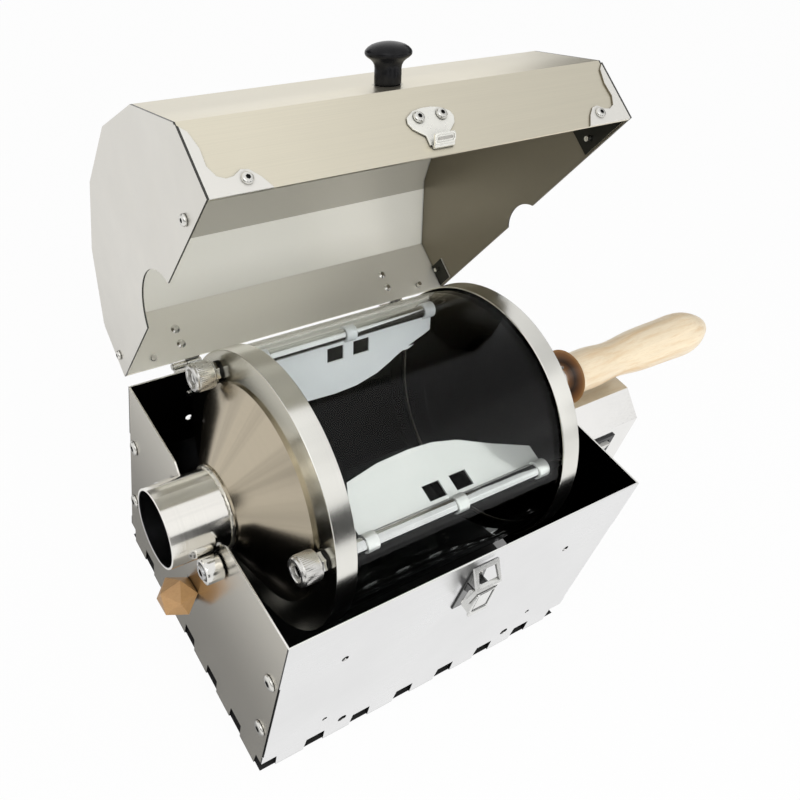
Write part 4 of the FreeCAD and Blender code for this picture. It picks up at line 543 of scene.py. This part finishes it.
def islands(node):
    """The loose solids of a CAD node, each as a list of its points."""
    bm = welded(node)
    groups, found = [], set()
    for start in bm.verts:
        if start in found:
            continue
        group, queue = [], [start]
        found.add(start)
        while queue:
            vertex = queue.pop()
            group.append(vertex.co.copy())
            for edge in vertex.link_edges:
                other = edge.other_vert(vertex)
                if other not in found:
                    found.add(other)
                    queue.append(other)
        groups.append(group)
    bm.free()
    return groups


def head_of(points):
    """A fastener's axis towards its head, the middle of the head's seat, its radius, height and shank end."""
    cloud = np.array(points)
    centre = cloud.mean(0)
    values, vectors = np.linalg.eigh(np.cov((cloud - centre).T))
    axis = vectors[:, 2] if values[1] - values[0] < values[2] - values[1] else vectors[:, 0]
    along = (cloud - centre) @ axis
    radius = np.linalg.norm((cloud - centre) - np.outer(along, axis), axis=1)
    wide = radius > HEAD_SHARE * radius.max()
    if along[wide].mean() < 0:
        axis, along = -axis, -along
    low, high = along[wide].min(), along.max()
    return Vector(axis), Vector(centre + axis * low), radius.max(), high - low, along.min() - low


def ring_of(points):
    """The low and high corner of a round piece that lies along X, its radius and its length."""
    cloud = np.array(points)
    low, high = cloud.min(0), cloud.max(0)
    return low, high, (high[1] - low[1]) / 2, high[0] - low[0]


def frame_at(origin, axis):
    """A matrix that puts local Z along the axis."""
    turn = Vector(axis).to_track_quat("Z", "X").to_matrix().to_4x4()
    turn.translation = origin
    return turn


def lathe(bm, matrix, rings, segments):
    """Turns rings of radius, height, sides (none for a circle, below 0 for a knurl) and material."""
    rings = [(*ring, 0, 0)[:4] for ring in rings]
    rows = []
    for radius, height, sides, _ in rings:
        if radius == 0:
            rows.append([bm.verts.new(matrix @ Vector((0, 0, height)))])
            continue
        row = []
        for k in range(segments):
            angle = 2 * math.pi * k / segments
            reach = radius
            if sides > 0:
                part = math.pi / sides
                reach = radius * math.cos(part) / math.cos((angle % (2 * part)) - part)
            elif sides < 0 and k % 2:
                reach = radius + sides * MM
            point = Vector((reach * math.cos(angle), reach * math.sin(angle), height))
            row.append(bm.verts.new(matrix @ point))
        rows.append(row)
    for (low, high), ring in zip(zip(rows, rows[1:]), rings[1:]):
        for k in range(segments):
            n = (k + 1) % segments
            corners = [low[k % len(low)], low[n % len(low)], high[n % len(high)], high[k % len(high)]]
            face = bm.faces.new(list(dict.fromkeys(corners)))
            face.material_index = ring[3]


def rounded_loop(centre, across, along, half_across, half_along, corner, steps=5):
    """Points of a closed rounded rectangle in the plane of two directions."""
    points = []
    for quarter, (a, b) in enumerate(((1, 1), (-1, 1), (-1, -1), (1, -1))):
        for k in range(steps + 1):
            angle = math.pi / 2 * (quarter + k / steps)
            points.append(centre + across * (a * (half_across - corner) + corner * math.cos(angle))
                          + along * (b * (half_along - corner) + corner * math.sin(angle)))
    return points


def add_tube(bm, points, normal, radius, flat=1.0, material=0, segments=10):
    """A closed wire along points that lie in one plane, flattened along the plane's normal."""
    rows = []
    for k, point in enumerate(points):
        ahead = (points[(k + 1) % len(points)] - points[k - 1]).normalized()
        side = ahead.cross(normal).normalized()
        rows.append([bm.verts.new(point + radius * (math.cos(a) * side + flat * math.sin(a) * normal))
                     for a in (2 * math.pi * j / segments for j in range(segments))])
    for k in range(len(rows)):
        low, high = rows[k], rows[(k + 1) % len(rows)]
        for j in range(segments):
            face = bm.faces.new((low[j], high[j], high[(j + 1) % segments], low[(j + 1) % segments]))
            face.material_index = material


def piece(name, bm, body, materials, replaces=(), sharp=35):
    """Turns a mesh into a piece of the model that rides on a body."""
    bmesh.ops.recalc_face_normals(bm, faces=bm.faces)
    mesh = bpy.data.meshes.new(name)
    bm.to_mesh(mesh)
    bm.free()
    for graph in materials:
        mesh.materials.append(graph.material)
    mesh.polygons.foreach_set("use_smooth", [True] * len(mesh.polygons))
    mesh.set_sharp_from_angle(angle=math.radians(sharp))
    obj = bpy.data.objects.new(name, mesh)
    bpy.context.scene.collection.objects.link(obj)
    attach(obj, body)
    if replaces:
        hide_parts(*replaces)
    return obj


def make_eased(node, width):
    """A copy of a CAD solid whose sharp edges are eased, as a folded or punched edge is."""
    bm = welded(node)
    bmesh.ops.dissolve_limit(bm, angle_limit=math.radians(FLAT_ANGLE), verts=bm.verts, edges=bm.edges)
    sharp = [edge for edge in bm.edges
             if len(edge.link_faces) == 2 and edge.calc_face_angle(0) > math.radians(SHARP_ANGLE)]
    bmesh.ops.bevel(bm, geom=sharp, offset=width * MM, segments=EASED_STEPS, profile=0.5, affect="EDGES",
                    clamp_overlap=True)
    obj = piece(node + "_eased", bm, NODES[node]["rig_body"], (GRAPH_OF[node],), (node,), 40)
    flat = obj.modifiers.new("flat faces", "WEIGHTED_NORMAL")
    flat.weight = 100
    flat.keep_sharp = True


def make_screws(node):
    """Low button heads with a hexagon recess painted near-black as shade, on their shanks."""
    bm = bmesh.new()
    for points in islands(node):
        axis, seat, radius, height, shank = head_of(points)
        core, inner = 0.52 * radius, 0.42 * radius
        lathe(bm, frame_at(seat, axis),
              [(0, shank), (core, shank), (core, 0), (0.95 * radius, 0), (radius, 0.12 * height),
               (radius, 0.4 * height), (0.93 * radius, 0.7 * height), (0.75 * radius, 0.93 * height),
               (0.56 * radius, height), (inner, 0.98 * height, HEXAGON), (inner, 0.35 * height, HEXAGON, 1),
               (0, 0.25 * height, 0, 1)], 36)
    piece(node + "_heads", bm, NODES[node]["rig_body"], (screw_metal, recess), (node,))


def make_thumb_nuts():
    """Knurled nuts with chamfered ends and a recess at the outer end, painted near-black as shade, drawn in
    twelfths of their length.
    """
    bm = bmesh.new()
    for points in islands("thumb_nuts"):
        low, high, radius, length = ring_of(points)
        middle = (low + high) / 2
        part = length / 12
        neck = radius - 0.3 * part
        step = radius - 0.4 * part
        lathe(bm, frame_at(Vector((high[0], middle[1], middle[2])), (-1, 0, 0)),
              [(3.2 * part, 0), (radius - part, 0), (neck, 0.6 * part), (neck, 1.5 * part),
               (radius, 1.9 * part, KNURL), (radius, length - 2.2 * part, KNURL),
               (step, length - 1.8 * part), (step, length - 0.8 * part), (radius - 1.1 * part, length),
               (5.5 * part, length), (5.0 * part, length - 0.5 * part), (4.7 * part, length - 2.5 * part),
               (3.3 * part, length - 2.7 * part), (3.2 * part, length - 2.4 * part, 0, 1),
               (0, length - 3.4 * part, 0, 1)], 96)
    piece("thumb_nuts_knurled", bm, "drum", (nut_metal, recess), ("thumb_nuts",))


def make_bearings():
    """Each roller is two ball bearings side by side, with rounded outer rings and shields painted near-black
    as shade.
    """
    for node, name in (("front_roller", "front_bearing"), ("back_roller", "back_bearing")):
        bm = bmesh.new()
        for points in islands(node):
            low, high, radius, width = ring_of(points)
            middle = (low + high) / 2
            matrix = frame_at(Vector((low[0], middle[1], middle[2])), X)
            for end, side in ((0.0, MM), (width, -MM)):
                lathe(bm, matrix,
                      [(radius, width / 2), (radius, end + 0.8 * side),
                       (radius - 0.25 * MM, end + 0.25 * side), (radius - 0.8 * MM, end), (5.7 * MM, end),
                       (5.4 * MM, end + 0.4 * side), (4.35 * MM, end + 0.45 * side, 0, 1)], 64)
        piece(name + "_rings", bm, name, (bearing_metal, recess), (node,))


def make_roller_bolts():
    """Socket head bolts that carry the bearings, their sockets painted near-black as shade."""
    bm = bmesh.new()
    core, tip, chamfer = 2.5 * MM, 2.2 * MM, 0.3 * MM
    for points in islands("roller_bolts"):
        axis, seat, radius, height, shank = head_of(points)
        socket = 0.52 * radius
        lathe(bm, frame_at(seat, axis),
              [(0, shank), (tip, shank), (core, shank + 0.4 * MM), (core, 0), (radius - chamfer, 0),
               (radius, chamfer), (radius, height - 0.5 * MM), (radius - 0.15 * MM, height - 0.2 * MM),
               (radius - 0.5 * MM, height), (0.58 * radius, height), (socket, height - 0.2 * MM, HEXAGON),
               (socket, height - 2.0 * MM, HEXAGON, 1), (0, height - 2.2 * MM, 0, 1)], 48)
    piece("roller_bolts_socket", bm, "base", (bolt_metal, recess), ("roller_bolts",))


def make_weld():
    """The rippled weld bead where the pipe meets the cone."""
    bm = bmesh.new()
    rows, turns = 180, 12
    bead_x, bead_radius, half_width, half_height = -109.3, 22.9, 2.3, 1.1
    grid = []
    for k in range(rows):
        angle = 2 * math.pi * k / rows
        ripple = 1 + 0.05 * math.sin(52 * angle) + 0.05 * math.sin(23 * angle + 1.0)
        row = []
        for j in range(turns):
            a = 2 * math.pi * j / turns
            radius = (bead_radius + half_height * ripple * math.cos(a)) * MM
            x = (bead_x + half_width * ripple * math.sin(a)) * MM
            row.append(bm.verts.new((x, radius * math.cos(angle), DRUM_HEIGHT + radius * math.sin(angle))))
        grid.append(row)
    for k in range(rows):
        this, following = grid[k], grid[(k + 1) % rows]
        for j in range(turns):
            n = (j + 1) % turns
            bm.faces.new((this[j], following[j], following[n], this[n]))
    piece("neck_weld", bm, "drum", (weld_metal,))


def make_hood_knob():
    """A turned knob: a stem that flares into a domed mushroom with a rolled rim."""
    points = islands("lid_knob")[0]
    axis, _, radius, _, _ = head_of(points)
    cloud = np.array(points)
    centre = cloud.mean(0)
    along = (cloud - centre) @ np.array(axis)
    foot = Vector(centre + np.array(axis) * along.min())
    tall = along.max() - along.min()
    stem, chamfer = 6.3 * MM, 0.6 * MM
    flare = [(1, 0.30), (0.99, 0.38), (1.02, 0.46), (1.12, 0.53), (1.30, 0.59), (1.52, 0.64)]
    cap = [(0.95, 0.675), (0.985, 0.70), (1, 0.73), (1, 0.76), (0.985, 0.79), (0.95, 0.82), (0.86, 0.87),
           (0.72, 0.92), (0.55, 0.955), (0.36, 0.98), (0.18, 0.995), (0, 1.0)]
    rings = [(0, 0), (stem - chamfer, 0), (stem, chamfer)]
    rings += [(stem * reach, share * tall) for reach, share in flare]
    rings += [(radius * reach, share * tall) for reach, share in cap]
    bm = bmesh.new()
    lathe(bm, frame_at(foot, axis), rings, 72)
    piece("hood_knob_turned", bm, "hood", (knob_plastic,), ("lid_knob",), 50)


def make_lever_border():
    """The rolled border round the lever's face, with a flat loop inside it painted near-black as the shade at
    the pressed panel's edge.
    """
    low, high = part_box("latch_lever")
    tail = low[2] + 2.0 * MM
    centre = Vector((0, low[1] + 1.0 * MM, (tail + high[2]) / 2))
    half = (high[2] - tail) / 2
    bm = bmesh.new()
    border = rounded_loop(centre, X, Z, 6.3 * MM, half - 0.5 * MM, 1.6 * MM)
    panel = rounded_loop(centre, X, Z, 5.2 * MM, half - 1.6 * MM, 1.0 * MM)
    add_tube(bm, border, FORWARD, 0.65 * MM)
    add_tube(bm, panel, FORWARD, 0.55 * MM, 0.25, 1)
    piece("latch_lever_border", bm, "lever", (latch_metal, recess))


def make_hook_trim():
    """The rolled edge of the hook and the slot inside it, drawn as a darker line of painted shade, placed on
    the closed hood and opened with it.
    """
    foot, lip = Vector((-1.0, -98.0, 150.3)) * MM, Vector((-1.0, -101.9, 154.7)) * MM
    tall = (lip - foot).length
    up = (lip - foot).normalized()
    normal = -up.cross(X).normalized()
    middle = foot + up * tall * 0.62
    bm = bmesh.new()
    add_tube(bm, rounded_loop(middle, X, up, 5.5 * MM, tall * 0.34, 1.3 * MM), normal, 0.5 * MM)
    add_tube(bm, rounded_loop(middle, X, up, 3.9 * MM, tall * 0.05, 0.2 * MM), normal, 0.45 * MM, 0.3, 1)
    bmesh.ops.transform(bm, matrix=HOOD_TURN, verts=bm.verts)
    piece("keeper_hook_trim", bm, "hood", (keeper_metal, gear_metal))


EASED_WIDTHS = {
    "latch_base": 0.35, "latch_lever": 0.35, "latch_bail": 0.4, "latch_keeper": 0.3, "motor_cover": 0.5,
    "lid_shell": 0.3, "lid_left_end": 0.2, "lid_right_end": 0.2, "front_wall": 0.2, "back_wall": 0.2,
    "left_end_wall": 0.12, "right_end_wall": 0.12, "hinge_left_box_leaf": 0.3, "hinge_right_box_leaf": 0.3,
    "hinge_left_lid_leaf": 0.3, "hinge_right_lid_leaf": 0.3, "wooden_knob": 0.5, "handle_collar": 0.6,
    "rod_nuts": 0.3, "roller_nuts": 0.3, "front_flange": 0.5, "rear_flange": 0.5, "discharge_pipe": 0.3,
    "switch_bezel": 0.4, "switch_rocker": 0.6, "shaft_bush": 0.4,
}

for screw_node in ("wall_screws", "lid_screws", "cover_screws"):
    make_screws(screw_node)
make_thumb_nuts()
make_bearings()
make_roller_bolts()
make_weld()
make_hood_knob()
make_lever_border()
make_hook_trim()
for eased_node, eased_width in EASED_WIDTHS.items():
    make_eased(eased_node, eased_width)


# ---------------------------------------------------------------- stage, lights and camera

FLOOR_REACH, FLOOR_DROP = 9.0, 0.0004
FLOOR_WHITE = 0.95  # the share of the seen floor that is plain white; its shadows are in the rest
# Painted shadow on the floor.
FLOOR_SHADOW = (0.02, 0.02, 0.02)
BOX_REACH_X, BOX_REACH_Y = 0.119, 0.094  # the floor inside the open box lies within these and is painted as shadow
# A pair of places is where a soft edge starts and ends.
NOTCH_X, NOTCH_Y, NOTCH_REACH = (0.133, 0.130), -0.027, (0.011, 0.008)  # a painted shadow on the floor at the right wall's foot
SHADE_X, SHADE_Y = (-0.135, -0.235), -0.14  # the floor left of the box, shaded in reflections
# The screens: each one's direction and half its width, in degrees about Z.
SCREEN_PLACES = ((20, 25), (110, 20), (200, 24), (255, 9), (292, 12), (325, 6))
SCREEN_DISTANCE, SCREEN_FOOT, SCREEN_TOP = 2.4, 0.05, 1.1
SKY_LIGHT = 0.62  # the sky's strength as a light; where it is seen, it is 1
# Dark patches of the sky in reflections: the middle's direction, outer and inner angle, and loss of light.
DARK_SKY = (((-0.44, -0.55, 0.71), 20, 9, 0.8), ((0.95, -0.10, 0.30), 50, 20, 0.36))
# The lamps: name, place, what they point at, width and height, power, and whether reflections show them.
LAMPS = (("key", (-1.0, -0.8, 1.5), (0, 0, 0.15), (1.2, 1.2), 6, True),
         ("fill", (1.3, -0.9, 0.9), (0, 0, 0.15), (1.0, 1.0), 1, True),
         ("front", (-0.15, -1.1, 0.72), (0, 0.13, 0.2), (0.8, 0.5), 7, False))
# The camera of the photograph: sensor and lens in millimetres, then its place and its axes.
SENSOR_WIDTH, LENS_LENGTH, LENS_SHIFT = 36.0, 37.49, (0.1215, 0.0170)
NEAREST_SEEN = 0.01
CAMERA_PLACE = (-0.2518, -0.2390, 0.4962)
CAMERA_RIGHT, CAMERA_UP = (0.8522, -0.5065, 0.131), (0.2865, 0.6614, 0.6931)
CAMERA_BACK = (-0.4377, -0.5532, 0.7088)


def stage_object(name, bm, material):
    mesh = bpy.data.meshes.new(name)
    bm.to_mesh(mesh)
    bm.free()
    mesh.materials.append(material)
    obj = bpy.data.objects.new(name, mesh)
    bpy.context.scene.collection.objects.link(obj)
    return obj


def make_floor_material():
    """White for the camera and in reflections, but a pale floor for the light, with painted shadow inside the
    open box and at the right wall's foot.
    """
    g = Graph("floor_pale", Roughness=0.9)
    position = g.position()
    x, y = g.axis("X", position), g.axis("Y", position)
    inside = g.times(g.less(g.absolute(x), BOX_REACH_X), g.less(g.absolute(y), BOX_REACH_Y))
    shade = g.spread(x, 0.2, 1.0, *SHADE_X, smooth=True)
    beside = g.times(g.more(y, SHADE_Y), g.less(x, -BOX_REACH_X))
    shaded = g.times(beside, g.math("SUBTRACT", 1.0, shade))
    lit = g.math("MAXIMUM", g.math("SUBTRACT", 1.0, shaded), g.math("SUBTRACT", 1.0, g.ray("Glossy")))
    from_notch = g.absolute(g.math("SUBTRACT", y, NOTCH_Y))
    notch_shadow = g.times(g.spread(x, 0.0, 0.85, *NOTCH_X), g.spread(from_notch, 0.0, 1.0, *NOTCH_REACH),
                    g.more(x, 0.0))
    pale = g.tones(g.noise(3.0), (0.84, 0.84, 0.84), (0.87, 0.87, 0.87))
    g.colour(g.mix(lit, FLOOR_SHADOW, g.mix(g.math("MAXIMUM", inside, notch_shadow), pale, FLOOR_SHADOW)))
    white = g.times(g.seen(), g.times(lit, g.math("SUBTRACT", 1.0, notch_shadow)),
                    g.math("SUBTRACT", FLOOR_WHITE, g.times(inside, FLOOR_WHITE)))
    emission = g.add("Emission")
    emission.inputs["Strength"].default_value = 1.0
    emission.inputs["Color"].default_value = (1, 1, 1, 1)
    blend = g.add("MixShader")
    for socket, source in zip(blend.inputs, (white, g.shader.outputs[0], emission.outputs[0])):
        g.join(source, socket)
    output = next(node for node in g.tree.nodes if node.type == "OUTPUT_MATERIAL")
    g.join(blend.outputs[0], output.inputs["Surface"])
    return g.material


def make_floor():
    bm = bmesh.new()
    bmesh.ops.create_grid(bm, x_segments=2, y_segments=2, size=FLOOR_REACH)
    floor = stage_object("floor", bm, make_floor_material())
    floor.location = (0, 0, -FLOOR_DROP)


def make_world():
    """An even pale sky, brighter where it is seen than as a light, with soft dark patches in reflections."""
    world = bpy.data.worlds.new("studio")
    bpy.context.scene.world = world
    world.use_nodes = True
    sky = Nodes(world.node_tree)
    strength = sky.spread(sky.seen(), SKY_LIGHT, 1.0)
    direction = sky.add("TexCoord").outputs["Generated"]
    for middle, outer, inner, loss in DARK_SKY:
        along = sky.add("VectorMath", operation="DOT_PRODUCT")
        sky.join(direction, along.inputs[0])
        along.inputs[1].default_value = Vector(middle).normalized()
        edges = [math.cos(math.radians(angle)) for angle in (outer, inner)]
        patch = sky.spread(along.outputs["Value"], 0.0, loss, *edges, smooth=True)
        strength = sky.math("SUBTRACT", strength, sky.times(patch, sky.ray("Glossy")))
    background = sky.tree.nodes["Background"]
    sky.join(strength, background.inputs["Strength"])
    background.inputs["Color"].default_value = (1, 1, 1, 1)


def make_screens():
    """Dark screens round the set, seen only in reflections, so that polished metal has contrast."""
    g = Graph("screen_dark", Roughness=0.9)
    g.colour(g.tones(g.noise(2.0), (0.02, 0.02, 0.02), (0.03, 0.03, 0.03)))
    bm = bmesh.new()
    for middle, reach in SCREEN_PLACES:
        angle = math.radians(middle)
        centre = Vector((SCREEN_DISTANCE * math.cos(angle), SCREEN_DISTANCE * math.sin(angle), 0))
        side = Vector((-centre.y, centre.x, 0)).normalized() * SCREEN_DISTANCE * math.tan(math.radians(reach))
        corners = ((-1, SCREEN_FOOT), (1, SCREEN_FOOT), (1, SCREEN_TOP), (-1, SCREEN_TOP))
        bm.faces.new([bm.verts.new(centre + s * side + z * Z) for s, z in corners])
    screens = stage_object("screens", bm, g.material)
    screens.visible_camera = False
    screens.visible_diffuse = False
    screens.visible_shadow = False
    screens.visible_transmission = False


def make_lamp(name, place, target, size, power, reflected):
    data = bpy.data.lights.new(name, "AREA")
    data.shape = "RECTANGLE"
    data.size, data.size_y = size
    data.energy = power
    lamp = bpy.data.objects.new(name, data)
    lamp.location = place
    lamp.rotation_euler = (Vector(target) - Vector(place)).to_track_quat("-Z", "Y").to_euler()
    lamp.visible_glossy = reflected
    bpy.context.scene.collection.objects.link(lamp)


def make_camera():
    data = bpy.data.cameras.new("camera")
    data.sensor_width = SENSOR_WIDTH
    data.lens = LENS_LENGTH
    data.shift_x, data.shift_y = LENS_SHIFT
    data.clip_start = NEAREST_SEEN
    camera = bpy.data.objects.new("camera", data)
    matrix = Matrix((CAMERA_RIGHT, CAMERA_UP, CAMERA_BACK)).transposed().to_4x4()
    matrix.translation = CAMERA_PLACE
    camera.matrix_world = matrix
    bpy.context.scene.collection.objects.link(camera)
    bpy.context.scene.camera = camera


make_floor()
make_world()
make_screens()
for lamp_values in LAMPS:
    make_lamp(*lamp_values)
make_camera()
bpy.context.scene.view_settings.view_transform = "Standard"
